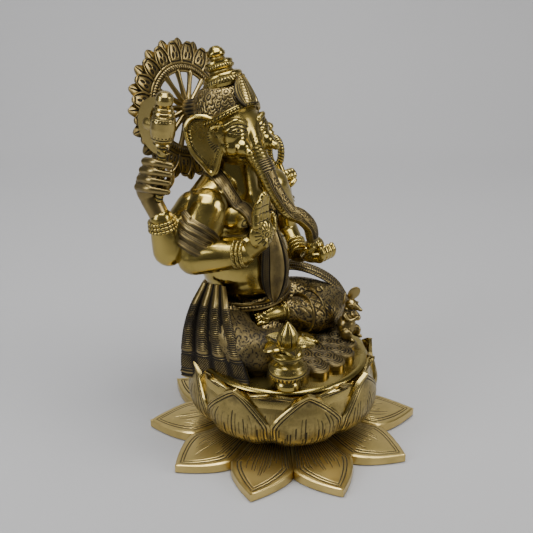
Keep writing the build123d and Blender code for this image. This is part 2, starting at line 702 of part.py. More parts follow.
# ---------------------------------------------------------------- assembly
def build():
    """Every piece by node name, each cut back to meet the pieces made before it."""
    nodes = {}
    nodes["foot_plate"] = foot_plate()
    nodes["lotus_bowl"] = lotus_bowl()
    nodes["inner_petals"] = inner_petals()
    nodes["outer_petals"] = outer_petals()
    nodes["seat_disc"] = seat_disc()
    nodes["tie_washer"] = tie_washer()
    nodes["tie_bolt"] = tie_bolt()
    nodes["foot_mat"] = foot_mat()
    nodes["pot_body"] = fitted(pot_body(), nodes["foot_mat"])
    nodes["pot_leaves"] = pot_leaves()
    nodes["pot_coconut"] = fitted(pot_coconut(), nodes["pot_leaves"])
    nodes["mouse_body"] = mouse_body()
    nodes["mouse_head"] = fitted(mouse_head(), nodes["mouse_body"])

    dhoti = dhoti_seat()
    belt = waist_belt()
    dhoti = fitted(dhoti, belt)
    nodes["dhoti_seat"] = fitted(dhoti, nodes["foot_mat"])
    nodes["waist_belt"] = belt
    nodes["torso"] = body = fitted(torso(), dhoti, belt)

    floor = seat_below()
    right_leg = fitted(leg(-1, RIGHT_ANKLE, [THIGH_R, KNEE_R, ANKLE_R]), floor, dhoti, nodes["foot_mat"], nodes["pot_body"])
    left_leg = fitted(leg(1, LEFT_ANKLE, [THIGH_R, KNEE_R, ANKLE_R]), floor, dhoti, body, belt, right_leg,
                      nodes["foot_mat"], nodes["mouse_body"])
    hem = fitted(shin_hem(), floor, right_leg, nodes["foot_mat"], body, dhoti, belt)
    left_leg = fitted(left_leg, hem)
    left_foot = fitted(foot(LEFT_ANKLE, on_seat(-12, 5, 34), 8.0), left_leg, dhoti)
    right_foot = fitted(foot(RIGHT_ANKLE, on_seat(12, -12, 9), 7.0), floor, right_leg, left_leg, nodes["foot_mat"])
    nodes.update(right_leg=right_leg, left_leg=left_leg, shin_hem=hem, left_foot=left_foot, right_foot=right_foot)

    shawl = fitted(shoulder_shawl(), body)
    made = [body, dhoti, belt, left_leg, right_leg, shawl]
    for name in ("front_right", "front_left", "rear_right", "rear_left"):
        rings = fitted(bangles(name), *made)
        limb_part = fitted(arm(name), rings, *made)
        made += [rings, limb_part]
        palm_part = fitted(hand(name), *made)
        made.append(palm_part)
        nodes.update({name + "_arm": limb_part, name + "_bangles": rings, name + "_hand": palm_part})
    nodes["shoulder_shawl"] = shawl

    band, dome = crown_band(), crown_dome()
    skull = fitted(head(), body, band, dome)
    nodes["head"] = skull
    nodes["crown_band"] = band
    nodes["crown_dome"] = fitted(dome, band)
    nodes["crown_finial"] = crown_finial()
    nodes["crown_crest"] = fitted(crown_crest(), band, dome, skull)
    nodes["trunk"] = long_nose = fitted(trunk(), skull, body)
    nodes["trunk_plate"] = fitted(trunk_plate(), long_nose, skull)
    for side, name in ((-1, "right"), (1, "left")):
        nodes[name + "_ear"] = fitted(ear(side), skull, body, band, dome)
        length = 12.0 if side < 0 else 7.0
        nodes[name + "_tusk"] = fitted(tusk(side, length), skull, long_nose)

    nodes["halo_leaves"] = fitted(halo_leaves(), skull)
    nodes["halo_rope"] = fitted(halo_rope(), skull)
    nodes["halo_spokes"] = halo_spokes()
    nodes["halo_hub"] = fitted(halo_hub(), skull, dome, band, nodes["crown_finial"])

    nodes["axe_handle"] = fitted(axe_handle(), nodes["rear_right_hand"], nodes["rear_right_bangles"])
    nodes["axe_socket"] = axe_socket()
    nodes["axe_blade"] = fitted(axe_blade(), nodes["axe_socket"])
    nodes["noose"] = fitted(noose(), nodes["rear_left_hand"])
    nodes["sweet_bowl"] = fitted(sweet_bowl(), nodes["front_left_hand"], long_nose)

    front = [body, dhoti, belt, left_leg, right_leg, left_foot, hem]
    nodes["front_scarf"] = scarf = fitted(front_scarf(), *front, long_nose, nodes["front_right_hand"])
    nodes["collar_sash"] = fitted(collar_sash(), body, skull, long_nose, scarf, nodes["front_right_hand"], shawl,
                                  nodes["front_right_arm"], nodes["front_left_arm"])
    nodes["right_sash"] = fitted(right_sash(), body, dhoti, belt, right_leg, nodes["foot_mat"], nodes["front_right_arm"])
    nodes["left_sash"] = fitted(left_sash(), body, dhoti, belt, left_leg, nodes["front_left_arm"], nodes["mouse_body"],
                                nodes["foot_mat"], floor)
    return nodes


def as_list(shape):
    return list(shape) if isinstance(shape, (list, tuple)) else [shape]


os.makedirs("parts", exist_ok=True)
for node, shape in build().items():
    solids = [Pos(0, -LOTUS_FORWARD, 0) * s for piece in as_list(shape) for s in piece.solids()]
    export_step(Compound(children=solids) if len(solids) > 1 else solids[0], f"parts/{node}.step")
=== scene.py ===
from math import cos, pi, radians, sin, tan

import bmesh
import bpy
import numpy as np
from mathutils import Matrix, Vector
from mathutils.bvhtree import BVHTree


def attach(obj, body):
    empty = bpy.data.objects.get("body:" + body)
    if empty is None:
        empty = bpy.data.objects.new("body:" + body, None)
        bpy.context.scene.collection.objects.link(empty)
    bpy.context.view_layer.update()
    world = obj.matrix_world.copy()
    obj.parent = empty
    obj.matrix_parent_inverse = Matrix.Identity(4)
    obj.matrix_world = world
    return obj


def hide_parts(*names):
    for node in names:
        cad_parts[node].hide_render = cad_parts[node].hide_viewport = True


# A cast brass statue of a seated, elephant-headed deity on a two-part lotus. Shapes are worked out in
# millimetres in the frame's axes (the figure faces -Y, its right side is -X) and written out in metres.

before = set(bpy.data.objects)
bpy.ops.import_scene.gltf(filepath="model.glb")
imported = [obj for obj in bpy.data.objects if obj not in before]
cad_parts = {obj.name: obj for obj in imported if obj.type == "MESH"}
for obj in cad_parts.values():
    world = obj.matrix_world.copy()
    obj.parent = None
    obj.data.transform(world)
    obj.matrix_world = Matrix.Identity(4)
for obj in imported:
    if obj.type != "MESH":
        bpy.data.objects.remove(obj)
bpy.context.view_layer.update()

MM = 0.001
LOTUS_FORWARD = 6.5  # everything below is measured from the lotus's middle, this far in front of the origin

# ------------------------------------------------------------------ sizes shared by several pieces
SEAT_Z = 66.0
FOOT_REACH = 107.0
FOOT_VALLEY = 77.0
FOOT_PETALS = 10
FOOT_EDGE = 6.2
FOOT_CROWN = 13.0
LOTUS_TURN = radians(9.8 - 90)
BOWL_PETALS = 8
HEAD = np.array((0.0, 55.0, 232.0))
HEAD_LEAN = radians(15)
HALO_BEHIND = 43.3
HALO_ABOVE = 19.9
HALO_LEAVES = 20
HALO_SPOKES = 14
RIGHT, LEFT = -1, 1
HOLLOW_ROUNDS = 14  # how far round each point its surface is averaged, in mesh steps
HOLLOW_PATINA = 1.6  # patina for each millimetre of hollow
SHARP_FROM = radians(50)
WELD_GAP = 0.002


# ------------------------------------------------------------------ small maths
def vec(*values):
    """Numbers as one array."""
    return np.array(values, float)


def unit(v):
    """Vectors of length 1 in the same directions."""
    v = np.asarray(v, float)
    return v / np.maximum(np.linalg.norm(v, axis=-1, keepdims=True), 1e-9)


def ramp(low, high, x):
    """0 below low, 1 above high, and smooth between."""
    t = np.clip((x - low) / (high - low), 0, 1)
    return t * t * (3 - 2 * t)


def bump(x, middle, reach):
    """A smooth hill of height 1 around the middle."""
    return ramp(0, 1, 1 - np.abs(x - middle) / reach)


def line(value, width):
    """A soft line where the value crosses nought."""
    return np.clip(1.25 - np.abs(value) / width, 0, 1)


def stripes(value, pitch, width):
    """Soft lines, one each pitch."""
    return line((value / pitch - np.round(value / pitch)) * pitch, width)


def humps(share, count):
    """Rounded humps, two for each of the counted waves round a full turn."""
    return np.abs(np.sin(share * 2 * pi * count))


def deepest(*cuts):
    """The deepest of several cuts at each point."""
    most = cuts[0]
    for cut in cuts[1:]:
        most = np.maximum(most, cut)
    return most


def shuffle(n, seed=0.0):
    """A fixed scatter of numbers between 0 and 1, one for each whole n."""
    return np.modf(np.abs(np.sin(n * 12.9898 + seed * 78.233) * 43758.5453))[0]


def flow(points, t):
    """Points at shares t of a smooth curve through the given ones."""
    p = np.asarray(points, float)
    if p.ndim == 1:
        p = p[:, None]
    p = np.vstack((2 * p[0] - p[1], p, 2 * p[-1] - p[-2]))
    u = np.clip(np.asarray(t, float), 0, 1) * (len(p) - 3)
    i = np.minimum(u.astype(int), len(p) - 4)
    f = (u - i)[:, None]
    a, b, c, d = p[i], p[i + 1], p[i + 2], p[i + 3]
    out = 0.5 * (2 * b + (c - a) * f + (2 * a - 5 * b + 4 * c - d) * f**2 + (3 * b - a - 3 * c + d) * f**3)
    return out[:, 0] if out.shape[1] == 1 else out


def head_point(x, y, z):
    """From the head's own leaning frame to the statue's."""
    x, y, z = np.broadcast_arrays(np.asarray(x, float), y, z)
    c, s = cos(HEAD_LEAN), sin(HEAD_LEAN)
    return np.stack((x + HEAD[0], y * c + z * s + HEAD[1], z * c - y * s + HEAD[2]), -1)


def swung(x, y, angle):
    """Flat coordinates turned by an angle about the origin."""
    c, d = cos(angle), sin(angle)
    return x * c - y * d, x * d + y * c


def placed(local, origin, z_dir, x_dir):
    """Local points carried to an origin, with their z and x along the given directions."""
    z = unit(z_dir)
    x = unit(np.asarray(x_dir, float) - np.dot(x_dir, z) * z)
    return np.asarray(origin, float) + local @ np.stack((x, np.cross(z, x), z))


# ------------------------------------------------------------------ chased patterns
def swirls(u, v, cell, pitch, width):
    """Curls cut round the middles of staggered cells."""
    row = np.floor(v / cell)
    across = u / cell + 0.5 * np.mod(row, 2)
    column = np.floor(across)
    du = (across - column - 0.5) * cell
    dv = (v / cell - row - 0.5) * cell
    reach = np.hypot(du, dv)
    turn = np.where(np.mod(row + column, 2) > 0, 1.0, -1.0)
    spiral = reach + turn * np.arctan2(dv, du) / (2 * pi) * pitch
    return stripes(spiral, pitch, width)


def vines(u, v, cell, width):
    """A wandering stem with a leaf on each bend."""
    stem = line(v - np.round(v / cell) * cell - 0.32 * cell * np.sin(2 * pi * u / cell), width * 1.3)
    return np.maximum(stem, swirls(u, v + cell / 2, cell / 2, cell / 5, width) * 0.9)


def strokes(across, along, pitch, width, reach, seed=0.0):
    """Side-by-side cuts of scattered lengths."""
    n = np.round(across / pitch)
    end = reach * (0.55 + 0.45 * shuffle(n, seed))
    here = along < end
    return line(across - (n + 0.25 * (shuffle(n, seed + 1) - 0.5)) * pitch, width) * here


def flower(u, v, radius, petals, width):
    """A round flower of cut petals."""
    reach = np.hypot(u, v)
    edge = radius * (0.62 + 0.38 * np.abs(np.cos(np.arctan2(v, u) * petals / 2)))
    return np.maximum(line(reach - edge, width), line(reach - 0.3 * radius, width))


# ------------------------------------------------------------------ mesh building
def add_object(name, mesh):
    """A new object in the scene that holds the mesh."""
    obj = bpy.data.objects.new(name, mesh)
    bpy.context.scene.collection.objects.link(obj)
    return obj


def mesh_points(mesh):
    """The places of a mesh's points, one row each."""
    flat = np.empty(len(mesh.vertices) * 3)
    mesh.vertices.foreach_get("co", flat)
    return flat.reshape(-1, 3)


def set_points(mesh, points):
    """Moves a mesh's points to the given places."""
    mesh.vertices.foreach_set("co", np.asarray(points, float).ravel())
    mesh.update()


def mesh_normals(mesh):
    """The outward directions at a mesh's points, one row each."""
    flat = np.empty(len(mesh.vertices) * 3)
    mesh.vertices.foreach_get("normal", flat)
    return flat.reshape(-1, 3)


def point_values(mesh, name):
    """A named value at each point, 0 where it was never set."""
    found = mesh.attributes.get(name) or mesh.attributes.new(name, "FLOAT", "POINT")
    values = np.zeros(len(mesh.vertices))
    found.data.foreach_get("value", values)
    return values


def set_point_values(mesh, name, values):
    """Stores a named value at each point."""
    found = mesh.attributes.get(name) or mesh.attributes.new(name, "FLOAT", "POINT")
    found.data.foreach_set("value", np.asarray(values, np.float32))


def sealed(mesh):
    """Doubled points merged and faces turned outwards."""
    bm = bmesh.new()
    bm.from_mesh(mesh)
    bmesh.ops.remove_doubles(bm, verts=bm.verts[:], dist=WELD_GAP)
    bmesh.ops.dissolve_degenerate(bm, edges=bm.edges[:], dist=WELD_GAP / 2)
    bmesh.ops.recalc_face_normals(bm, faces=bm.faces[:])
    bm.to_mesh(mesh)
    bm.free()
    return mesh


def plain_relief(s, t):
    """No height and no patina."""
    return np.zeros_like(s), np.zeros_like(s)


def sheet(across, along, shape, relief=plain_relief, thick=0.0, floor=None):
    """A grid bent by shape(s, t), raised by relief(s, t), and closed by a thickness or by walls to a floor.

    relief gives the height and the depth of patina. s and t run from 0 to 1 across and along the grid."""
    bm = bmesh.new()
    bmesh.ops.create_grid(bm, x_segments=across, y_segments=along, size=0.5)
    back = bm.verts.layers.float.new("back")
    if thick:
        old = list(bm.verts)
        bmesh.ops.extrude_face_region(bm, geom=bm.faces[:], use_keep_orig=True)
        for vert in old:
            vert[back] = 1.0
    if floor is not None:
        rim = [edge for edge in bm.edges if edge.is_boundary]
        made = bmesh.ops.extrude_edge_only(bm, edges=rim)["geom"]
        for vert in (g for g in made if isinstance(g, bmesh.types.BMVert)):
            vert[back] = 1.0
        lower_rim = [g for g in made if isinstance(g, bmesh.types.BMEdge) and g.is_boundary]
        bmesh.ops.contextual_create(bm, geom=lower_rim)
    mesh = bpy.data.meshes.new("sheet")
    bm.to_mesh(mesh)
    bm.free()
    grid = mesh_points(mesh)
    s, t = np.clip(grid[:, 0] + 0.5, 0, 1), np.clip(grid[:, 1] + 0.5, 0, 1)
    behind = point_values(mesh, "back") > 0.5
    step = 1e-3
    points = shape(s, t)
    along_s = shape(np.clip(s + step, 0, 1), t) - shape(np.clip(s - step, 0, 1), t)
    along_t = shape(s, np.clip(t + step, 0, 1)) - shape(s, np.clip(t - step, 0, 1))
    normal = unit(np.cross(along_s, along_t))
    height, patina = relief(s, t)
    if floor is None:
        points = points + normal * np.where(behind, -thick, height)[:, None]
    else:
        points = points + normal * np.where(behind, 0, height)[:, None]
        points[behind, 2] = floor
    set_points(mesh, points)
    set_point_values(mesh, "patina", np.where(behind, 0, patina))
    mesh.attributes.remove(mesh.attributes["back"])
    return sealed(mesh)


def joined(meshes):
    """Several meshes as one."""
    bm = bmesh.new()
    for mesh in meshes:
        bm.from_mesh(mesh)
    made = bpy.data.meshes.new("joined")
    bm.to_mesh(made)
    bm.free()
    return made


def path_frames(points, steps=160):
    """A smooth path's points, tangents and two steady side directions."""
    t = np.linspace(0, 1, steps)
    line_points = flow(points, t)
    tangent = unit(np.gradient(line_points, axis=0))
    side = np.empty_like(tangent)
    start = vec(0, 0, 1) if abs(tangent[0][2]) < 0.9 else vec(0, 1, 0)
    side[0] = unit(start - np.dot(start, tangent[0]) * tangent[0])
    for i in range(1, steps):
        moved = side[i - 1] - np.dot(side[i - 1], tangent[i]) * tangent[i]
        side[i] = unit(moved)
    return t, line_points, tangent, side, np.cross(tangent, side)


def along_path(where, share, *tracks):
    """Each track's points at the given shares of a path."""
    return [np.stack([np.interp(where, share, track[:, k]) for k in range(3)], -1) for track in tracks]


def tube(points, radii, around=40, along=60, relief=plain_relief, flat=1.0, cap=0.08):
    """A round-ended tube through the points. flat squeezes it along its second side direction."""
    share, spine, tangent, side, other = path_frames(points)

    def shape(s, t):
        inner = np.clip((t - cap) / (1 - 2 * cap), 0, 1)
        radius = flow(radii, inner)
        end = np.where(t < cap, (cap - t) / cap, np.where(t > 1 - cap, (t - 1 + cap) / cap, 0))
        sign = np.where(t < 0.5, -1.0, 1.0)
        ring = radius * np.cos(end * pi / 2)
        push = sign * radius * np.sin(end * pi / 2)
        base, ahead, u, v = along_path(inner, share, spine, tangent, side, other)
        angle = 2 * pi * s
        return (base + ahead * push[:, None] + u * (ring * np.cos(angle))[:, None]
                + v * (flat * ring * np.sin(angle))[:, None])

    return sheet(around, along, shape, relief)


def turned(outline, origin, z_dir=(0, 0, 1), around=72, along=90, relief=plain_relief, smooth=False):
    """A lathe shape from (radius, height) points about its own z axis."""
    profile = np.asarray(outline, float)
    lengths = np.concatenate(([0], np.cumsum(np.hypot(*np.diff(profile, axis=0).T))))
    lengths /= lengths[-1]

    def shape(s, t):
        if smooth:
            r, z = flow(profile, t).T
        else:
            r, z = np.interp(t, lengths, profile[:, 0]), np.interp(t, lengths, profile[:, 1])
        local = np.stack((r * np.cos(2 * pi * s), r * np.sin(2 * pi * s), z), -1)
        return placed(local, origin, z_dir, (1, 0, 0))

    return sheet(around, along, shape, relief)


def ball(centre, half, turn=(0, 0, 0)):
    """An ellipsoid lump, turned in degrees about X, Y and Z."""
    bm = bmesh.new()
    bmesh.ops.create_icosphere(bm, subdivisions=4, radius=1)
    spin = Matrix.Identity(4)
    for angle, axis in zip(turn, "XYZ"):
        spin = Matrix.Rotation(radians(angle), 4, axis) @ spin
    size = Matrix.Diagonal((*(half if hasattr(half, "__len__") else (half,) * 3), 1))
    bm.transform(Matrix.Translation(Vector(centre)) @ spin @ size)
    mesh = bpy.data.meshes.new("ball")
    bm.to_mesh(mesh)
    bm.free()
    return mesh


def limb(points, radii, flat=1.0):
    """A limb lump through its joints."""
    return tube(points, radii, around=24, along=48, flat=flat)


def clay(lumps, voxel, passes):
    """Lumps pressed into one skin of the given grain and smoothed."""
    obj = add_object("clay", joined(lumps))
    remesh = obj.modifiers.new("skin", "REMESH")
    remesh.mode = "VOXEL"
    remesh.voxel_size = voxel
    soften = obj.modifiers.new("soften", "SMOOTH")
    soften.factor = 0.5
    soften.iterations = passes
    graph = bpy.context.evaluated_depsgraph_get()
    mesh = bpy.data.meshes.new_from_object(obj.evaluated_get(graph))
    bpy.data.objects.remove(obj)
    return mesh


def chase(mesh, pattern, depth):
    """Cuts a pattern(points, normals) into a mesh and leaves patina in the cuts."""
    points, normals = mesh_points(mesh), mesh_normals(mesh)
    cut = pattern(points, normals)
    set_points(mesh, points - normals * (cut * depth)[:, None])
    set_point_values(mesh, "patina", np.maximum(point_values(mesh, "patina"), np.clip(cut, 0, 1)))
    return mesh


def neighbour_mean(values, ends, count):
    """The mean of each point's neighbours along the mesh edges."""
    here, there = np.concatenate(ends), np.concatenate(ends[::-1])
    links = np.maximum(np.bincount(here, minlength=count), 1)
    mean = np.empty_like(values)
    for k in range(values.shape[1]):
        mean[:, k] = np.bincount(here, values[there, k], count) / links
    return mean


def hollows(mesh):
    """How far each point lies in a hollow (+) or on a ridge (-), in millimetres."""
    count = len(mesh.vertices)
    ends = np.empty(len(mesh.edges) * 2, int)
    mesh.edges.foreach_get("vertices", ends)
    ends = ends.reshape(-1, 2).T
    points, normals = mesh_points(mesh), mesh_normals(mesh)
    soft = points
    for _ in range(HOLLOW_ROUNDS):
        soft = 0.5 * soft + 0.5 * neighbour_mean(soft, ends, count)
    depth = np.sum((soft - points) * normals, 1)
    for _ in range(2):
        depth = 0.5 * depth + 0.5 * neighbour_mean(depth[:, None], ends, count)[:, 0]
    return depth


def settle(name, mesh, material, gain=1.0):
    """Finishes a piece: hollows darkened, metres, material, body, and the frame node it stands for."""
    depth = hollows(mesh)
    patina = np.clip(point_values(mesh, "patina") + np.clip(depth * HOLLOW_PATINA * gain, 0, 1), 0, 1)
    set_point_values(mesh, "patina", patina)
    set_points(mesh, (mesh_points(mesh) - vec(0, LOTUS_FORWARD, 0)) * MM)
    mesh.name = name + "_mesh"
    mesh.materials.clear()
    mesh.materials.append(material)
    mesh.shade_smooth()
    mesh.set_sharp_from_angle(angle=SHARP_FROM)
    obj = add_object(name + "_cast", mesh)
    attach(obj, "root")
    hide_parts(name)
    return obj


# ------------------------------------------------------------------ materials
MIX_SOCKETS = {"RGBA": (6, 7, 2), "FLOAT": (2, 3, 0)}  # a mix node's two inputs and its output, for each kind
PATINA_ROUGHNESS = 0.62
PATINA_METAL = 0.55


def socket(group, name, way, default=None):
    """A named number going into or out of a node group."""
    made = group.interface.new_socket(name=name, in_out=way, socket_type="NodeSocketFloat")
    if default is not None:
        made.default_value = default
    return made


def patina_group():
    """Patina in the cuts and hollows, thinned by rubbing: outputs its mask, a mottle and a fine grain."""
    group = bpy.data.node_groups.new("Patina and polish", "ShaderNodeTree")
    socket(group, "Amount", "INPUT", 1.0)
    socket(group, "Haze", "INPUT", 0.1)
    socket(group, "Patina", "OUTPUT")
    socket(group, "Mottle", "OUTPUT")
    socket(group, "Grain", "OUTPUT")
    nodes, links = group.nodes, group.links
    inputs = nodes.new("NodeGroupInput")
    outputs = nodes.new("NodeGroupOutput")
    place = nodes.new("ShaderNodeTexCoord")

    def noise(scale, detail, rough):
        made = nodes.new("ShaderNodeTexNoise")
        made.inputs["Scale"].default_value = scale
        made.inputs["Detail"].default_value = detail
        made.inputs["Roughness"].default_value = rough
        links.new(place.outputs["Object"], made.inputs["Vector"])
        return made.outputs["Fac"]

    def maths(kind, *values):
        made = nodes.new("ShaderNodeMath")
        made.operation = kind
        for slot_input, value in zip(made.inputs, values):
            if isinstance(value, (int, float)):
                slot_input.default_value = value
            else:
                links.new(value, slot_input)
        return made.outputs[0]

    def stretch(value, low, high):
        made = nodes.new("ShaderNodeMapRange")
        made.interpolation_type = "SMOOTHSTEP"
        made.inputs["From Min"].default_value = low
        made.inputs["From Max"].default_value = high
        links.new(value, made.inputs["Value"])
        return made.outputs["Result"]

    cuts = nodes.new("ShaderNodeAttribute")
    cuts.attribute_name = "patina"
    broad = noise(38.0, 3.0, 0.55)
    spots = noise(420.0, 4.0, 0.6)
    fine = noise(2600.0, 2.0, 0.5)
    held = maths("MULTIPLY", cuts.outputs["Fac"], inputs.outputs["Amount"])
    ragged = maths("ADD", held, maths("MULTIPLY", maths("SUBTRACT", spots, 0.5), 0.35))
    stained = maths("MULTIPLY", stretch(broad, 0.45, 0.75), inputs.outputs["Haze"])
    total = maths("ADD", stretch(ragged, 0.12, 0.8), stained)
    links.new(maths("MINIMUM", total, 1.0), outputs.inputs["Patina"])
    links.new(broad, outputs.inputs["Mottle"])
    grain = maths("ADD", maths("MULTIPLY", fine, 0.5), maths("MULTIPLY", spots, 0.5))
    links.new(grain, outputs.inputs["Grain"])
    return group


PATINA = patina_group()


def brass(name, slot, light, warm, dark, amount, haze, gloss, grain):
    """A cast brass finish: two tones of metal, dark patina in the recesses, and a fine cast grain."""
    material = bpy.data.materials.new(name)
    material.use_nodes = True
    material["slot"] = slot
    nodes, links = material.node_tree.nodes, material.node_tree.links
    shader = nodes["Principled BSDF"]
    effect = nodes.new("ShaderNodeGroup")
    effect.node_tree = PATINA
    effect.inputs["Amount"].default_value = amount
    effect.inputs["Haze"].default_value = haze

    def mix(kind, a, b, factor):
        made = nodes.new("ShaderNodeMix")
        made.data_type = kind
        first, second, mixed = MIX_SOCKETS[kind]
        for index, value in ((first, a), (second, b)):
            if isinstance(value, (tuple, float)):
                made.inputs[index].default_value = (*value, 1) if kind == "RGBA" else value
            else:
                links.new(value, made.inputs[index])
        links.new(factor, made.inputs[0])
        return made.outputs[mixed]

    patina, mottle = effect.outputs["Patina"], effect.outputs["Mottle"]
    metal = mix("RGBA", light, warm, mottle)
    links.new(mix("RGBA", metal, dark, patina), shader.inputs["Base Color"])
    links.new(mix("FLOAT", gloss, PATINA_ROUGHNESS, patina), shader.inputs["Roughness"])
    links.new(mix("FLOAT", 1.0, PATINA_METAL, patina), shader.inputs["Metallic"])
    surface = nodes.new("ShaderNodeBump")
    surface.inputs["Strength"].default_value = 0.35
    surface.inputs["Distance"].default_value = grain * MM
    links.new(effect.outputs["Grain"], surface.inputs["Height"])
    links.new(surface.outputs["Normal"], shader.inputs["Normal"])
    return material


POLISHED = brass("Hand-polished brass", "polished_brass", amount=1.25, haze=0.38, gloss=0.17, grain=0.10,
                 light=(0.50, 0.385, 0.120), warm=(0.31, 0.235, 0.055), dark=(0.022, 0.017, 0.006))
BRIGHT = brass("Buffed brass", "bright_brass", amount=1.2, haze=0.26, gloss=0.22, grain=0.08,
               light=(0.52, 0.405, 0.155), warm=(0.36, 0.27, 0.075), dark=(0.030, 0.022, 0.008))
AGED = brass("Chased and aged brass", "aged_brass", amount=1.4, haze=0.55, gloss=0.30, grain=0.16,
             light=(0.34, 0.26, 0.105), warm=(0.20, 0.145, 0.05), dark=(0.014, 0.010, 0.005))
# A lighter copy of Buffed brass for the foot. The rougher gloss is its brushed finish. Both colour tones are
# lifted well above Buffed brass as a painted highlight, standing in for the overhead light that falls on the
# upturned petals.
BRUSHED_WITH_PAINTED_HIGHLIGHT = brass("Brushed brass with painted highlight", "bright_brass", amount=1.2, haze=0.22, gloss=0.31, grain=0.08,
                light=(0.72, 0.55, 0.22), warm=(0.52, 0.39, 0.12), dark=(0.034, 0.024, 0.008))


def bolt_steel():
    """Plain machined steel, faintly mottled."""
    material = bpy.data.materials.new("Machined steel")
    material.use_nodes = True
    nodes, links = material.node_tree.nodes, material.node_tree.links
    shader = nodes["Principled BSDF"]
    place = nodes.new("ShaderNodeTexCoord")
    mottle = nodes.new("ShaderNodeTexNoise")
    mottle.inputs["Scale"].default_value = 900.0
    links.new(place.outputs["Object"], mottle.inputs["Vector"])
    tone = nodes.new("ShaderNodeMix")
    tone.data_type = "RGBA"
    low, high, mixed = MIX_SOCKETS["RGBA"]
    tone.inputs[low].default_value = (0.42, 0.42, 0.43, 1)
    tone.inputs[high].default_value = (0.56, 0.56, 0.57, 1)
    links.new(mottle.outputs["Fac"], tone.inputs[0])
    links.new(tone.outputs[mixed], shader.inputs["Base Color"])
    shader.inputs["Metallic"].default_value = 1.0
    rough = nodes.new("ShaderNodeMapRange")
    rough.inputs["To Min"].default_value = 0.28
    rough.inputs["To Max"].default_value = 0.42
    links.new(mottle.outputs["Fac"], rough.inputs["Value"])
    links.new(rough.outputs["Result"], shader.inputs["Roughness"])
    return material


STEEL = bolt_steel()


# ------------------------------------------------------------------ lotus foot
def foot_petal(turn):
    """One broad pointed petal of the foot, with two border lines and fine veins."""
    half = pi / FOOT_PETALS
    valley_x, valley_w = FOOT_VALLEY * cos(half), FOOT_VALLEY * sin(half)
    root = 40.0  # where the petal leaves the round core

    def width(x):
        beyond = np.clip((x - valley_x) / (FOOT_REACH - valley_x), 0, 1)
        return np.where(x < valley_x, x * tan(half), valley_w * (1 - beyond**1.55))

    def shape(s, t):
        x = root + (FOOT_REACH - root) * t
        side = 2 * s - 1
        y = -side * width(x)
        rise = np.clip((94 - x) / 50, 0, 1)
        crease = ramp(84, 58, x) * side**4
        z = FOOT_EDGE + (FOOT_CROWN - FOOT_EDGE) * rise**1.5
        z = z + 1.1 * (1 - side**2) * ramp(104, 80, x) - 2.6 * crease
        return np.stack((*swung(x, y, turn), z), -1)

    def relief(s, t):
        x = root + (FOOT_REACH - root) * t
        side = 2 * s - 1
        slope = np.where(x < valley_x, tan(half), 1.15)
        inset = (1 - np.abs(side)) * width(x) / np.hypot(1, slope)
        border = np.maximum(line(inset - 3.4, 0.42), line(inset - 5.2, 0.42)) * ramp(48, 54, x)
        veins = strokes(side * 11, (x - 44) / 44, 1.0, 0.16, 1.0 - 0.25 * np.abs(side), turn)
        veins = veins * (inset > 7) * ramp(44, 50, x)
        cut = np.maximum(border, veins)
        edge = ramp(1.2, 0.0, inset)
        dark = 0.18 * ramp(60, 46, x) + 0.25 * ramp(84, 60, x) * np.abs(side)**6
        return -0.35 * cut - 0.5 * edge, np.maximum(cut, dark)

    return sheet(96, 58, shape, relief, floor=0.0)


def lotus_foot():
    """The ten-petalled foot and the round core under the bowl."""
    petals = [foot_petal(LOTUS_TURN + n * 2 * pi / FOOT_PETALS) for n in range(FOOT_PETALS)]
    core = turned([(0, 2), (41, 2), (41, FOOT_CROWN - 0.2), (0, FOOT_CROWN - 0.2)], (0, 0, 0), along=30)
    # The foot's brass is lightened: the extra brightness is a painted highlight for the overhead light on its
    # petals.
    settle("foot_plate", joined([*petals, core]), BRUSHED_WITH_PAINTED_HIGHLIGHT, gain=0.6)


# ------------------------------------------------------------------ lotus bowl
def bowl_petal(turn, profile, meet, thick, border, curl=0.0):
    """An upright petal on the bowl. Below the meet share of its height it touches its neighbours."""
    half = pi / BOWL_PETALS
    rise = profile[-1][1] - profile[0][1]

    def spread(t):
        beyond = np.clip((t - meet) / (1 - meet), 0, 1)
        return half * (1 - beyond**1.35)

    def shape(s, t):
        side = 2 * s - 1
        r, z = flow(profile, t).T
        belly = 2.4 * (1 - side**2) * np.sin(pi * np.clip(t * 1.15, 0, 1))
        seam = 2.6 * ramp(0.5, 1.0, np.abs(side)) * ramp(meet + 0.1, meet - 0.3, t)
        r = r + belly - seam + curl * ramp(0.86, 1.0, t) * ramp(0.9, 0.3, np.abs(side))
        angle = turn + side * spread(t)
        return np.stack((r * np.cos(angle), r * np.sin(angle), z), -1)

    def relief(s, t):
        side = np.abs(2 * s - 1)
        r = flow(profile, t)[:, 0]
        away = side * spread(t) / half
        across = (1 - side) * spread(t) * r
        down = (meet + (1 - meet) * (1 - away) ** 0.74 - t) * rise
        inset = across * down / np.maximum(np.hypot(across, down), 1e-6)
        lines = np.maximum(line(inset - border, 0.5), line(inset - border - 1.9, 0.5))
        lines = lines * ramp(meet - 0.22, meet - 0.1, t)
        low = strokes((2 * s - 1) * 13, t / 0.5, 1.0, 0.2, 1.0, turn) * ramp(0.04, 0.12, t)
        high = strokes((2 * s - 1) * 9, (t - 0.3) / 0.4, 1.0, 0.14, 1.0, turn + 3)
        high = high * (t > 0.4) * (inset > border + 3.4)
        cut = deepest(lines, low, high * 0.7)
        roll = ramp(1.6, 0.0, inset) * ramp(meet - 0.1, meet, t)
        seam = ramp(0.8, 1.0, side) * ramp(meet + 0.05, meet - 0.2, t)
        dark = deepest(0.5 * ramp(0.36, 0.05, t), 0.6 * seam, 0.3 * (inset > border + 2.4) * (t > 0.3))
        return -0.45 * cut - 0.8 * roll, np.maximum(cut, dark)

    return sheet(76, 64, shape, relief, thick=thick)


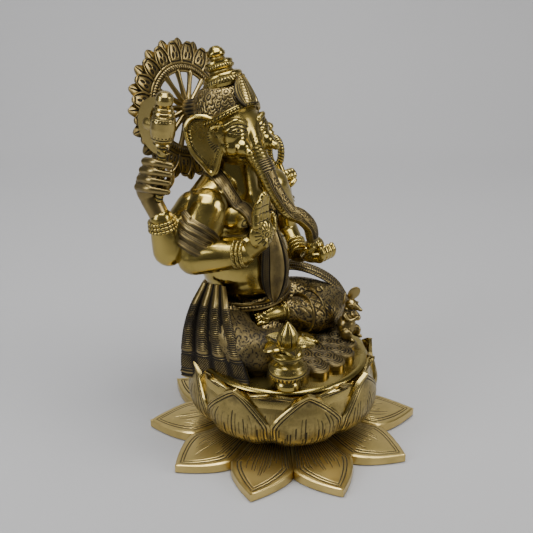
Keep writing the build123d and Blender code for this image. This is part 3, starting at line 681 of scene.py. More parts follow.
def lotus_petals():
    """The outer and the inner row of petals."""
    outer = [(46, 12.6), (60, 17), (70, 27), (73.2, 39), (72.2, 49), (71.0, 58), (73.4, 66.2)]
    inner = [(44, 13), (57, 18), (66, 27), (69.0, 39), (68.5, 49), (67.0, 57), (67.6, 65.4)]
    step = 2 * pi / BOWL_PETALS
    front = [bowl_petal(LOTUS_TURN + n * step, outer, 0.52, 3.4, 2.2) for n in range(BOWL_PETALS)]
    back = [bowl_petal(LOTUS_TURN + (n + 0.5) * step, inner, 0.84, 2.6, 1.6, curl=3.4)
            for n in range(BOWL_PETALS)]
    settle("outer_petals", joined(front), BRIGHT)
    settle("inner_petals", joined(back), BRIGHT)


def seat():
    """The polished disc of the seat."""
    outline = [(0, SEAT_Z - 4), (62, SEAT_Z - 4), (64.6, SEAT_Z - 3.2), (65.2, SEAT_Z - 2),
               (64.6, SEAT_Z - 0.9), (63.0, SEAT_Z), (0, SEAT_Z)]

    def relief(s, t):
        return np.zeros_like(s), 0.35 * ramp(0.60, 0.8, t)

    settle("seat_disc", turned(outline, (0, 0, 0), around=128, along=80, relief=relief), POLISHED)


def foot_mat():
    """The scalloped mat, cut all over with curls inside lines that follow its edge."""
    middle_x = 5.0
    scallops = 9

    def rim(angle):
        return 46.5 + 7.5 * np.abs(np.sin((angle + pi) * scallops)) ** 0.6

    def radius_angle(s, t):
        return t * rim(-pi * s), -pi * s

    def shape(s, t):
        r, angle = radius_angle(s, t)
        x = middle_x + r * np.cos(angle)
        y = np.minimum(r * np.sin(angle), -9.0)
        return np.stack((x, y, np.full_like(x, SEAT_Z + 5.2)), -1)

    def relief(s, t):
        r, angle = radius_angle(s, t)
        inset = rim(angle) - r
        x, y = r * np.cos(angle), r * np.sin(angle)
        follow = stripes(inset - 2.6, 2.2, 0.5) * (inset > 1.8) * (inset < 8)
        curls = swirls(x + 1.5 * np.sin(y / 5), y, 14.0, 2.4, 0.55) * (inset >= 8)
        cut = np.maximum(follow, curls)
        return -0.6 * cut - 1.2 * ramp(1.6, 0, inset), np.maximum(cut, 0.3)

    settle("foot_mat", sheet(340, 120, shape, relief, floor=SEAT_Z), AGED)


# ------------------------------------------------------------------ pot
POT = vec(-41, -38, SEAT_Z)


def pot():
    """The fluted pot, its ring of leaves and the ribbed nut."""
    outline = [(0, 0), (8, 0), (9.8, 1), (9.4, 3.8), (8.2, 6), (11.6, 9), (14.2, 13), (14.4, 16),
               (12.4, 20), (8.8, 22.6), (8.4, 23.8), (11.9, 25.6), (12.3, 27.8), (10.2, 29.6), (9.6, 30.6),
               (0, 30.6)]

    def relief(s, t):
        belly = bump(t, 0.37, 0.10)
        flutes = humps(s, 14) * belly
        shoulder = stripes(s * 60 + t * 40, 1.0, 0.22) * bump(t, 0.52, 0.07)
        ring = humps(s, 22) * bump(t, 0.68, 0.035)
        rounds = deepest(line(t - 0.30, 0.008), line(t - 0.445, 0.008), line(t - 0.74, 0.007))
        cut = deepest(shoulder, rounds, (1 - flutes / np.maximum(belly, 1e-6)) * belly * 0.8)
        return 0.9 * flutes + 0.5 * ring - 0.35 * np.maximum(shoulder, rounds), np.clip(cut, 0, 1)

    settle("pot_body", turned(outline, POT, around=168, along=120, relief=relief), POLISHED)
    leaves = [pot_leaf(radians(72 * n + 20)) for n in range(5)]
    collar = turned([(0, 30), (7.6, 30), (8.6, 32), (7.4, 35), (0, 35)], POT, along=30)
    settle("pot_leaves", joined([*leaves, collar]), POLISHED)
    nut = [(0, 33), (5.8, 33.6), (7.6, 36.5), (7.6, 40), (6.2, 44.5), (3.6, 48.6), (1.2, 51.6), (0, 52.2)]

    def ribs(s, t):
        petal = np.abs(np.modf(s * 6)[0] - 0.5) * 2
        rib = stripes(s * 36, 1.0, 0.2) * bump(t, 0.5, 0.34)
        seam = line(petal - 0.96, 0.09) * ramp(0.12, 0.2, t)
        return -0.5 * seam - 0.2 * rib, np.maximum(seam, 0.7 * rib)

    settle("pot_coconut", turned(nut, POT, around=96, along=60, relief=ribs, smooth=True), POLISHED)


def pot_leaf(angle):
    """One boat-shaped leaf that leans out of the pot's mouth."""

    def shape(s, t):
        side = 2 * s - 1
        width = 6.6 * np.sin(pi * t**0.85) ** 0.8 + 0.2
        x = 3 + 16.5 * t
        y = -side * width
        z = 32.0 + 3.8 * side**2 * np.sin(pi * t) + 2.8 * t
        return POT + np.stack((*swung(x, y, angle), z), -1)

    def relief(s, t):
        side = 2 * s - 1
        rib = line(side, 0.12)
        veins = stripes(t * 12 - np.abs(side) * 2, 1.0, 0.16) * (np.abs(side) < 0.8)
        return -0.25 * np.maximum(rib, veins), np.maximum(rib, 0.8 * veins)

    return sheet(20, 26, shape, relief, thick=1.4)


# ------------------------------------------------------------------ mouse
MOUSE = vec(42, -31, SEAT_Z + 5)


def mouse():
    """The mouse sitting up with a sweet in its paws."""
    body = [ball(MOUSE + (0, 2, 9), (7.4, 7.6, 9.5)), ball(MOUSE + (0, 0, 18), (5.6, 5.2, 7)),
            ball(MOUSE + (0, 0.5, 24), (3.6, 3.6, 3.6))]
    for side in (RIGHT, LEFT):
        body.append(ball(MOUSE + (side * 5.6, -2, 5), (3.0, 6.0, 5.0), (-20, 0, 0)))
        body.append(limb([MOUSE + (side * 5.2, -3, 1.4), MOUSE + (side * 5.0, -8.5, 1.2)], [1.8, 1.5]))
        arm_points = [MOUSE + (side * 5.2, 0, 21), MOUSE + (side * 5.6, -5, 17.5),
                      MOUSE + (side * 1.8, -8, 19)]
        body.append(limb(arm_points, [2.2, 1.8, 1.5]))
    body.append(ball(MOUSE + (0, -8.5, 19.5), 2.5))
    tail = [MOUSE + (2, 8, 2), MOUSE + (8, 8, 1.6), MOUSE + (10.5, 2, 1.5), MOUSE + (10, -3, 1.4)]
    body.append(limb(tail, [1.6, 1.4, 1.2, 0.8]))
    skin = clay(body, 0.55, 4)

    def fur(points, normals):
        p = points - MOUSE
        collar = bump(p[:, 2], 24, 1.2) * 0.6
        beads = stripes(np.arctan2(p[:, 1], p[:, 0]) * 7 / pi, 1.0, 0.3) * bump(p[:, 2], 22.4, 1.0)
        hair = stripes(p[:, 2] + 1.5 * np.sin(p[:, 0] * 2), 1.7, 0.3) * ramp(0, 3, p[:, 1])
        return deepest(collar, beads, hair * 0.5)

    settle("mouse_body", chase(skin, fur, 0.12), AGED, gain=0.8)
    head = [ball(MOUSE + (0, -2, 29), (4.7, 5.2, 4.5)),
            limb([MOUSE + (0, -4, 29), MOUSE + (0, -10.5, 27)], [3.4, 1.5]),
            ball(MOUSE + (0, -11.5, 26.9), 1.2)]
    for side in (RIGHT, LEFT):
        head.append(ball(MOUSE + (side * 6.2, 0.5, 35.5), (5.4, 1.2, 6.2), (10, side * 30, side * -25)))
        head.append(ball(MOUSE + (side * 2.9, -5.6, 30.6), 1.1))
    settle("mouse_head", clay(head, 0.5, 3), AGED, gain=0.8)


# ------------------------------------------------------------------ figure: cloth-wrapped hips and legs
def around_axis(points, start, end):
    """Distance along an axis and angle round it, for points near it."""
    axis = unit(end - start)
    rel = points - start
    along = rel @ axis
    out = rel - along[:, None] * axis
    side = unit(np.cross(axis, vec(0, 0, 1)))
    up = np.cross(side, axis)
    return along, np.arctan2(out @ side, out @ up)


def cut_flat(mesh, height):
    """Presses what hangs below a height up onto it."""
    points = mesh_points(mesh)
    points[:, 2] = np.maximum(points[:, 2], height)
    set_points(mesh, points)
    return mesh


KNEE_RIGHT, KNEE_LEFT = vec(-42, -2, 83), vec(58, 2, 84)
ANKLE_RIGHT, ANKLE_LEFT = vec(-4, -8, 78), vec(6, 8, 94)


def hips():
    """The cloth round the hips, chased with scrolls between border lines."""
    lumps = [ball((0, 41, 80), (47, 36, 22)), ball((0, 46, 98), (38, 29, 18)),
             ball((0, 66, 76), (34, 17, 18)), limb([(-41, 12, 79), (-45, 46, 79)], [12, 12]),
             limb([(-32, 28, 98), (-37, 46, 98)], [12, 11])]
    skin = clay(lumps, 1.0, 10)

    def scrolls(points, normals):
        x, y, z = points.T
        turn = np.arctan2(y - 42, x) * 44
        field = vines(turn, z - 70, 12.0, 0.36) * (z > 73)
        folds = stripes(z + 2.0 * np.sin(turn / 9), 6.5, 0.45) * (y > 60)
        hem = np.maximum(line(z - 70.5, 0.5), line(z - 72.6, 0.5))
        return deepest(field, folds, hem)

    settle("dhoti_seat", chase(cut_flat(skin, SEAT_Z + 0.1), scrolls, 0.5), AGED)


def belt():
    """The waist belt of two cords with a beaded strip between."""

    def shape(s, t):
        angle = 2 * pi * s
        r = 1.0 + 0.05 * np.sin(pi * t)
        z = 104.6 + 6.8 * t - 2.5 * (1 - np.sin(angle)) * 0.5
        return np.stack((36.5 * r * np.cos(angle), 40 + 31.5 * r * np.sin(angle), z), -1)

    def relief(s, t):
        cords = bump(t, 0.16, 0.14) + bump(t, 0.84, 0.14)
        beads = humps(s, 40) * bump(t, 0.5, 0.2)
        gaps = (1 - humps(s, 40)) * bump(t, 0.5, 0.2)
        cut = np.maximum(line(t - 0.32, 0.04), line(t - 0.68, 0.04))
        return 0.9 * cords + 0.9 * beads - 0.3 * cut, np.maximum(cut, gaps)

    settle("waist_belt", sheet(260, 18, shape, relief, thick=4.0), AGED)


def legs():
    """The two folded legs in their chased cloth."""
    right = clay([limb([(-22, 38, 86), (-38, 22, 88), KNEE_RIGHT], [20, 19, 17]),
                  limb([KNEE_RIGHT, (-30, -10, 81), ANKLE_RIGHT + (-4, 2, 0)], [17, 16.5, 11.5]),
                  ball((-34, 6, 78), (24, 20, 14))], 0.9, 12)

    def right_cloth(points, normals):
        along, angle = around_axis(points, KNEE_RIGHT, ANKLE_RIGHT)
        u, v = np.mod(along + 2, 22) - 11, np.mod(angle * 17 + 10, 22) - 11
        rosette = flower(u, v, 7.5, 6, 0.32)
        hem = np.maximum(line(along - 40, 0.4), line(along - 43, 0.4))
        branch = swirls(along + 10, angle * 17 + 4, 8, 2.6, 0.28) * (np.hypot(u, v) > 8.5) * 0.7
        clear_of_seat = ramp(SEAT_Z + 1, SEAT_Z + 4, points[:, 2])
        return np.maximum(deepest(rosette, branch, hem) * clear_of_seat, 0.28)

    settle("right_leg", chase(cut_flat(right, SEAT_Z + 0.1), right_cloth, 0.26), AGED, gain=0.5)

    left = clay([limb([(22, 38, 88), (42, 20, 88), KNEE_LEFT], [18, 18.5, 16.5]),
                 limb([KNEE_LEFT, (38, -3, 84), ANKLE_LEFT + (8, -1, -2)], [16.5, 15.5, 11.0]),
                 ball((36, 8, 82), (24, 18, 15))], 0.9, 12)

    def left_cloth(points, normals):
        x, y, z = points.T
        field = vines(x * 0.9 + y * 0.5, y - 0.8 * z, 9.0, 0.3)
        away = np.hypot(x - 46, y - 2)
        ring = np.maximum(flower(x - 46, (y - 2) * 0.9, 7.5, 8, 0.4), line(away - 9.2, 0.4))
        return np.maximum(field * (away > 10), ring) * ramp(SEAT_Z + 1, SEAT_Z + 4, z)

    settle("left_leg", chase(cut_flat(left, SEAT_Z + 0.1), left_cloth, 0.4), AGED)


def hem():
    """The bordered hem that crosses the left shin."""
    axis = unit(ANKLE_LEFT - KNEE_LEFT)
    middle = KNEE_LEFT + (ANKLE_LEFT - KNEE_LEFT) * 0.56

    def shape(s, t):
        angle = 2 * pi * s
        radius = 17.6 - 2.2 * t
        local = np.stack((radius * np.cos(angle), radius * np.sin(angle), 11.5 * t - 5), -1)
        points = placed(local, middle + vec(0, -3.4, -3.6), axis, (0, 0, 1))
        points[:, 2] = np.maximum(points[:, 2], SEAT_Z + 0.1)
        return points

    def relief(s, t):
        edges = np.maximum(bump(t, 0.08, 0.09), bump(t, 0.92, 0.09))
        off_middle = np.abs(t - 0.5)
        lozenge = line(np.abs(np.mod(s * 15, 1) - 0.5) * 2 - off_middle * 2.6, 0.16) * (off_middle < 0.36)
        rails = np.maximum(line(t - 0.16, 0.035), line(t - 0.84, 0.035))
        return 0.8 * edges - 0.4 * np.maximum(lozenge, rails), np.maximum(lozenge, rails)

    settle("shin_hem", sheet(150, 26, shape, relief, thick=2.0), AGED)


def foot(name, ankle, toe, size, up):
    """A bare foot with an anklet and five toes."""
    along = unit(toe - ankle)
    side = unit(np.cross(along, up))
    instep = (ankle + toe) / 2 + up * size * 0.12
    lumps = [limb([ankle, instep, toe], [size * 0.86, size * 0.82, size * 0.66])]
    for n in range(5):
        start = toe + side * (n - 2) * size * 0.34 + along * size * 0.2
        length = size * (0.95 - 0.11 * n)
        thick = size * (0.30 if n == 0 else 0.23)
        lumps.append(limb([start, start + along * length * 0.6 + up * 0.6, start + along * length - up * 0.4],
                          [thick, thick, thick * 0.9]))
    anklet = [ankle + side * size * cos(a) + up * size * sin(a) for a in np.linspace(0, 2 * pi, 13)]
    lumps.append(tube(anklet, [1.3] * 3, 12, 60))
    settle(name, cut_flat(clay(lumps, 0.6, 4), SEAT_Z + 0.1), POLISHED, gain=1.2)


# ------------------------------------------------------------------ figure: body
def torso():
    """Belly, chest, shoulders and neck, smooth and polished."""
    lumps = [ball((0, 40, 132), (37, 33, 33)), ball((0, 38, 122), (34, 31, 22)),
             ball((0, 48, 168), (37, 24, 27)), ball((0, 47, 152), (35, 26, 20)),
             limb([(-33, 50, 184), (0, 54, 192), (33, 50, 184)], [15, 18, 15]),
             limb([(0, 52, 186), (0, 55, 214)], [21, 17])]
    for side in (RIGHT, LEFT):
        lumps.append(ball((side * 17, 33, 172), (15, 12, 13), (12, 0, 0)))
    skin = clay(lumps, 1.0, 14)

    def details(points, normals):
        x, y, z = points.T
        cuts = np.zeros_like(x)
        for side in (RIGHT, LEFT):
            away = np.hypot(x - side * 20, z - 171)
            ring = np.maximum(line(away - 2.6, 0.5), line(away - 1.1, 0.4)) * (y < 40)
            cuts = np.maximum(cuts, ring)
        crease = line(z - 154 + 0.010 * x**2, 0.8) * (y < 40) * (np.abs(x) < 30)
        return np.maximum(cuts, 0.8 * crease)

    skin = chase(skin, details, 0.5)
    tree = surface_tree(skin)
    settle("torso", skin, POLISHED)
    return tree


def surface_tree(mesh):
    """A finder for the nearest place on a mesh that is still in millimetres."""
    bm = bmesh.new()
    bm.from_mesh(mesh)
    tree = BVHTree.FromBMesh(bm)
    bm.free()
    return tree


def laid_on(points, tree, clear):
    """Points moved onto the nearest surface and lifted clear of it."""
    out = np.empty_like(points)
    for i, point in enumerate(points):
        place, normal, _, _ = tree.find_nearest(Vector(point))
        out[i] = np.array(place) + np.array(normal) * clear
    return out


# each arm's shoulder, elbow, wrist and palm, and its radii from the shoulder to the wrist
ARMS = {
    "front_right": [vec(-36, 45, 181), vec(-55, 40, 150), vec(-38, 5, 157), vec(-35, -8, 176)],
    "rear_right": [vec(-40, 54, 180), vec(-66, 55, 155), vec(-70, 57, 180), vec(-72, 64, 200)],
    "front_left": [vec(37, 46, 182), vec(54, 46, 140), vec(46, 24, 126), vec(44, 6, 132)],
    "rear_left": [vec(40, 54, 180), vec(63, 56, 148), vec(66, 56, 163), vec(66, 57, 176)],
}
ARM_RADII = {
    "front_right": [17.0, 16.0, 13.2, 11.6, 8.2],
    "rear_right": [14.5, 13.0, 12.0, 10.6, 8.6],
    "front_left": [14.0, 12.0, 10.5, 9.2, 7.0],
    "rear_left": [13.5, 11.5, 10.0, 8.6, 6.6],
}


def arm(name):
    """A rounded arm from the shoulder to the wrist."""
    shoulder, elbow, wrist = ARMS[name][:3]
    upper = (shoulder + elbow) / 2 + unit(vec(np.sign(shoulder[0]), 0, 0)) * 3
    lower = (elbow + wrist) / 2
    radii = ARM_RADII[name]
    lumps = [limb([shoulder, upper, elbow], radii[:3]), limb([elbow, lower, wrist], radii[2:])]
    settle(name + "_arm", clay(lumps, 0.9, 10), POLISHED)


def bangles(name, count, beaded):
    """Bangles side by side round a wrist."""
    elbow, wrist = ARMS[name][1:3]
    axis = unit(elbow - wrist)
    start = ARM_RADII[name][-1]
    ticks, slant = (22, 0) if beaded else (40, 1)
    rings = []
    for n in range(count):
        centre = wrist + axis * (n * 2.9 + 1.0)
        radius = start + 0.5 + 0.42 * n

        def shape(s, t, centre=centre, radius=radius):
            a, b = 2 * pi * s, 2 * pi * t
            r = radius + 1.5 * np.cos(b)
            local = np.stack((r * np.cos(a), r * np.sin(a), 1.45 * np.sin(b)), -1)
            return placed(local, centre, axis, (0, 0, 1))

        def relief(s, t):
            notch = stripes(s * ticks + slant * t, 1.0, 0.12)
            return -0.45 * notch, notch * 0.9

        rings.append(sheet(132, 14, shape, relief))
    settle(name + "_bangles", joined(rings), POLISHED)


def open_palm():
    """The raised right hand with a flower cut in its palm."""
    wrist, palm = ARMS["front_right"][2:]
    size = 10.6
    facing = unit(vec(0.12, -1, 0.10))
    up = unit(vec(0.02, 0.03, 1))
    across = unit(np.cross(up, facing))
    lumps = [ball(palm + vec(0, 0, -1), (size * 0.98, size * 0.42, size * 1.08), (0, 0, -14)),
             limb([wrist, palm - up * 7], [6.8, 6.0], flat=0.8)]
    for n, share in enumerate((0.8, 0.97, 1.0, 0.86)):
        start = palm + up * size * 0.66 + across * (n - 1.5) * size * 0.43
        length = size * 1.95 * share
        lean = up - across * (n - 1.5) * 0.10
        middle, tip = start + lean * length * 0.5 - facing * 0.7, start + lean * length + facing * 1.6
        lumps.append(limb([start, middle, tip], [3.0, 2.9, 2.5]))
    root = palm + across * size * 0.62 - up * size * 0.55
    thumb = [root, root + across * 5 + up * 5 + facing * 1.5, root + across * 7.0 + up * 12.5 + facing * 1.0,
             root + across * 7.6 + up * 16]
    lumps.append(limb(thumb, [3.4, 2.9, 2.3, 1.6]))
    skin = clay(lumps, 0.55, 3)

    def lines(points, normals):
        rel = points - palm
        u, v = rel @ across, rel @ up
        front = ramp(0.2, 0.6, normals @ facing)
        joints = stripes(v - size * 0.9, size * 0.5, 0.35) * (v > size * 0.8) * (v < size * 2.4)
        pattern = flower(u, v + 0.5, 4.6, 8, 0.4)
        away = np.hypot(u, v + 0.5)
        rays = stripes(np.arctan2(v + 0.5, u) * 16 / (2 * pi), 1.0, 0.16)
        rays = rays * (away > 5) * (away < 8.4) * (u < 7)
        return deepest(joints, pattern, rays * 0.8) * front

    settle("front_right_hand", chase(skin, lines, 0.3), POLISHED)


def axe_hand():
    """The rear right hand, its four fingers stacked round the axe's handle."""
    wrist, palm = ARMS["rear_right"][2:]
    lumps = [ball(palm + (-1.5, 2.5, 3), (7.5, 8.5, 13.5), (0, 0, 24)),
             limb([wrist, palm - (0, -1, 6)], [7.2, 7.6])]
    for n in range(4):
        height = 2.0 + 6.4 * n
        knuckle = palm + vec(-7.5 + 0.9 * n, 5.0 - 2.0 * n, height + 2.0)
        middle = palm + vec(-8.0 + 1.2 * n, -7.0 - 1.5 * n, height + 3.2)
        tip = palm + vec(0.5 + 0.6 * n, -16.5 - 1.0 * n, height + 1.0)
        lumps.append(limb([knuckle, middle, tip], [3.2, 3.0, 2.3]))
    lumps.append(limb([palm + (6, -3, -2), palm + (7, -12, 8), palm + (5, -16, 16)], [3.6, 3.2, 2.4]))
    settle("rear_right_hand", clay(lumps, 0.6, 3), AGED, gain=1.2)


def cupped_hand():
    """The front left hand, palm up, its fingers curled up round the sweet."""
    wrist, palm = ARMS["front_left"][2:]
    lumps = [ball(palm + (0, 1, -2), (10.0, 10.5, 6.0), (-8, 0, 0)),
             limb([wrist, palm + (0, 7, -2)], [7.4, 6.6])]
    for n in range(4):
        start = palm + vec(-6.6 + 4.4 * n, -6.5, -1.5)
        finger = [start, start + (0, -4.5, 1.0), start + (0, -6.5, 5.5), start + (0, -5.0, 9.5)]
        lumps.append(limb(finger, [3.1, 3.0, 2.7, 2.1]))
    lumps.append(limb([palm + (-7, 3, 0), palm + (-10, -2, 4), palm + (-8.5, -6, 8)], [3.0, 2.5, 1.8]))
    settle("front_left_hand", clay(lumps, 0.6, 3), POLISHED, gain=1.2)


def noose_hand():
    """The rear left hand, closed on the noose."""
    wrist, palm = ARMS["rear_left"][2:]
    lumps = [ball(palm + (0, 1, -2), (7.2, 5.6, 8.6)), limb([wrist, palm - (0, 0, 5)], [6.2, 6.0])]
    for n in range(4):
        knuckle = palm + vec(-5.4 + 3.7 * n, 1.5, 5.0)
        finger = [knuckle, knuckle + (0, -5.0, 2.6), knuckle + (0, -8.4, -0.6), knuckle + (0, -7.2, -4.0)]
        lumps.append(limb(finger, [2.3, 2.1, 1.9, 1.6]))
    lumps.append(limb([palm + (-5, -4, -5), palm + (-3, -10, -1), palm + (1, -11, 2)], [2.7, 2.3, 1.9]))
    settle("rear_left_hand", clay(lumps, 0.6, 3), POLISHED, gain=1.2)


# ------------------------------------------------------------------ head
def head():
    """Skull, brows, cheeks, mouth and almond eyes."""
    lumps = [ball(HEAD, (24.5, 26, 26), (-15, 0, 0)),
             ball(head_point(0, -8, 8), (19.5, 15.5, 16), (-15, 0, 0)),
             limb([head_point(0, -9, 6), head_point(0, -14, -2), (0, 31, 219), (0, 24, 211)],
                  [15.5, 12.5, 9.0, 7.5]),
             ball(head_point(0, -12, -20), (9, 10, 6)), ball(head_point(0, -4, -16), (17, 15, 12))]
    for side in (RIGHT, LEFT):
        lumps.append(ball(head_point(side * 11.5, -13, -2), (11.5, 13, 13)))
        lumps.append(ball(head_point(side * 12, -13.5, -10.5), (11, 11, 9.5)))
        lumps.append(limb([head_point(side * 12, -17, -9), head_point(side * 13, -22.5, -13)], [9.0, 6.6]))
        lumps.append(limb([head_point(side * 8, -24.5, 4.5), head_point(side * 14.5, -23, 7.0),
                           head_point(side * 20.5, -16.5, 5.0)], [1.9, 2.1, 1.5]))
    skin = clay(lumps, 0.8, 7)

    def eyes(points, normals):
        rel = points - HEAD
        c, s = cos(HEAD_LEAN), sin(HEAD_LEAN)
        x = np.abs(rel[:, 0])
        y = rel[:, 1] * c - rel[:, 2] * s
        z = rel[:, 1] * s + rel[:, 2] * c
        front = (y < -10) * (x > 5)
        across = (x - 14.5) * 0.80 + (y + 23.0) * 0.6
        up = z + 0.3 - 0.10 * across
        lid = 2.6 * np.clip(1 - (across / 6.6) ** 2, 0, 1)
        rim = np.maximum(line(up - lid, 0.55), line(up + lid * 0.7, 0.45)) * (np.abs(across) < 7.2)
        fold = line(up - 1.2 - 3.6 * np.clip(1 - (across / 9.2) ** 2, 0, 1), 0.4) * (np.abs(across) < 8.8)
        under = line(up + 1.0 + 3.0 * np.clip(1 - (across / 8.4) ** 2, 0, 1), 0.3)
        under = under * (np.abs(across) < 7.6) * 0.5
        iris = line(np.hypot(across, up - 0.3), 1.3)
        eye = np.clip(rim + fold * 0.8 + under + iris, 0, 1) * front
        beads = stripes(np.arctan2(z - 3, y + 12) * 6, 1.0, 0.28) * bump(np.hypot(y + 12, z - 3), 5, 2)
        beads = beads * (x > 16) * 0.6
        wrinkles = stripes(z, 2.4, 0.3) * (x < 8) * (z < -6) * (y < -26) * 0.5
        return deepest(eye, beads, wrinkles)

    settle("head", chase(skin, eyes, 0.6), POLISHED, gain=1.1)


EAR_EDGE = [(28, 0), (27.5, 9), (21, 15.5), (11, 14.5), (2, 10), (-2, 4), (-1, -5), (4, -14), (13, -29),
            (20, -20), (26, -10), (28, 0)]


def ear(name, side):
    """A broad pointed ear with a ticked rim and cut lines round its opening."""
    middle = vec(11, -2)
    edge = np.array(EAR_EDGE, float) - middle

    def flat(s, t):
        return middle + flow(edge, s) * t[:, None]

    def shape(s, t):
        a, b = flat(s if side < 0 else 1 - s, t).T
        dish = 1.6 * t**6 - 0.8 * (1 - t**2)
        x = side * (20.5 + 0.45 * a + 0.89 * dish)
        y = -12.5 + 0.89 * a - 0.45 * dish
        return head_point(x, y, b)

    def relief(s, t):
        a, b = flat(s if side < 0 else 1 - s, t).T
        rim = bump(t, 0.93, 0.09) * (a > 1)
        groove = line(t - 0.84, 0.012) * (a > 1)
        ticks = stripes(s * 90, 1.0, 0.24) * ramp(0.73, 0.75, t) * ramp(0.83, 0.81, t) * (a > 2)
        reach = np.hypot(a + 2, b + 3)
        rings = np.maximum(line(reach - 7.0, 0.5), line(reach - 9.4, 0.5)) * (t < 0.74)
        rays = stripes(np.arctan2(b + 3, a + 2) * 44 / (2 * pi), 1.0, 0.22)
        rays = rays * (reach > 10.2) * (reach < 14.2) * (t < 0.7)
        cut = deepest(groove, ticks, rings, rays)
        return 1.2 * rim - 0.45 * cut, np.clip(np.maximum(cut, 0.25 * ramp(0.76, 0.7, t)), 0, 1)

    settle(name, sheet(300, 72, shape, relief, thick=2.2), POLISHED, gain=0.8)


def tusk(name, side, length):
    """A short tusk in its ringed socket."""
    root = head_point(side * 13.0, -22.5, -13.0)
    tip = head_point(side * 13.8, -24.0 - length * 0.75, -14.0 - length * 0.4)
    ahead = tip - root
    socket_ring = tube([root, root + ahead * 0.4], [5.4, 4.6], 36, 24)

    def rings(s, t):
        cut = stripes(t * 5, 1.0, 0.12) * (t < 0.7)
        return -0.3 * cut, cut

    tooth = tube([root, tip], [3.6, 3.0], 36, 40, rings, cap=0.2)
    settle(name, joined([socket_ring, tooth]), POLISHED)


TRUNK_PATH = [head_point(0, -8, 0), (0, 31, 221), (0, 21.5, 209), (1, 11.5, 193), (5, 1.5, 179),
              (12, -4.5, 174), (20, -7, 165), (27, -4.5, 153)]
TRUNK_RADII = [11.0, 8.6, 7.2, 6.4, 5.9, 5.6, 5.2, 4.9]


def wrapped(points, radii, front, half_angle, start, end, clear, across, along, relief, thick):
    """A strip laid along one side of a tube's path."""
    share, spine, tangent, _, _ = path_frames(points)
    side = unit(vec(*front) - np.sum(vec(*front) * tangent, 1)[:, None] * tangent)
    other = np.cross(tangent, side)

    def shape(s, t):
        where = start + (end - start) * t
        base, u, v = along_path(where, share, spine, side, other)
        angle = (2 * s - 1) * half_angle
        radius = flow(radii, where) + clear
        return base + u * (radius * np.cos(angle))[:, None] + v * (radius * np.sin(angle))[:, None]

    return sheet(across, along, shape, relief, thick=thick)


def trunk():
    """The long trunk with creases on its inner side, and the chased plate along its front."""

    def creases(s, t):
        rings = stripes(t * 44 + 0.6 * np.sin(2 * pi * s), 1.0, 0.16) * ramp(0.12, 0.2, t)
        soft = 0.55 + 0.45 * np.cos(2 * pi * s)
        return -0.22 * rings * soft, rings * soft * 0.7

    settle("trunk", tube(TRUNK_PATH, TRUNK_RADII, 72, 220, creases, cap=0.03), POLISHED)

    def plate(s, t):
        side = np.abs(2 * s - 1)
        rails = np.maximum(line(side - 0.86, 0.05), line(side - 0.70, 0.05))
        u, v = (s - 0.5) * 15, np.mod(t * 78, 11) - 5.5
        rosettes = flower(u, v, 3.6, 6, 0.45) * (side < 0.66)
        filling = stripes(u + 1.6 * np.sin(t * 78 * 2 * pi / 11), 1.5, 0.26) * (side < 0.66)
        away = np.hypot(u, v) > 4.2
        bands = stripes(t * 78, 1.6, 0.4) * (t < 0.11)
        cut = deepest(rails, rosettes, filling * away * 0.8) * (t >= 0.11) + bands
        return -0.35 * cut + 0.5 * (t < 0.11), np.clip(cut, 0, 1)

    strip = wrapped(TRUNK_PATH, TRUNK_RADII, front=(0.1, -1, 0.35), half_angle=radians(58), start=0.24,
                    end=0.97, clear=0.5, across=44, along=240, relief=plate, thick=1.0)
    settle("trunk_plate", strip, AGED, gain=0.7)


# ------------------------------------------------------------------ crown
def crown_rim(angle, lift=0.0, grow=0.0):
    """The lower edge of the crown round the brow, in the head's frame. Angle 0 is the left side."""
    front = -np.sin(angle)
    x = (25.0 + grow) * np.cos(angle)
    y = -0.5 + (24.0 + grow) * np.sin(angle)
    z = 8.5 + 8.0 * np.clip(front, 0, 1) ** 1.6 - 4.0 * np.clip(-front, 0, 1) + lift
    return x, y, z


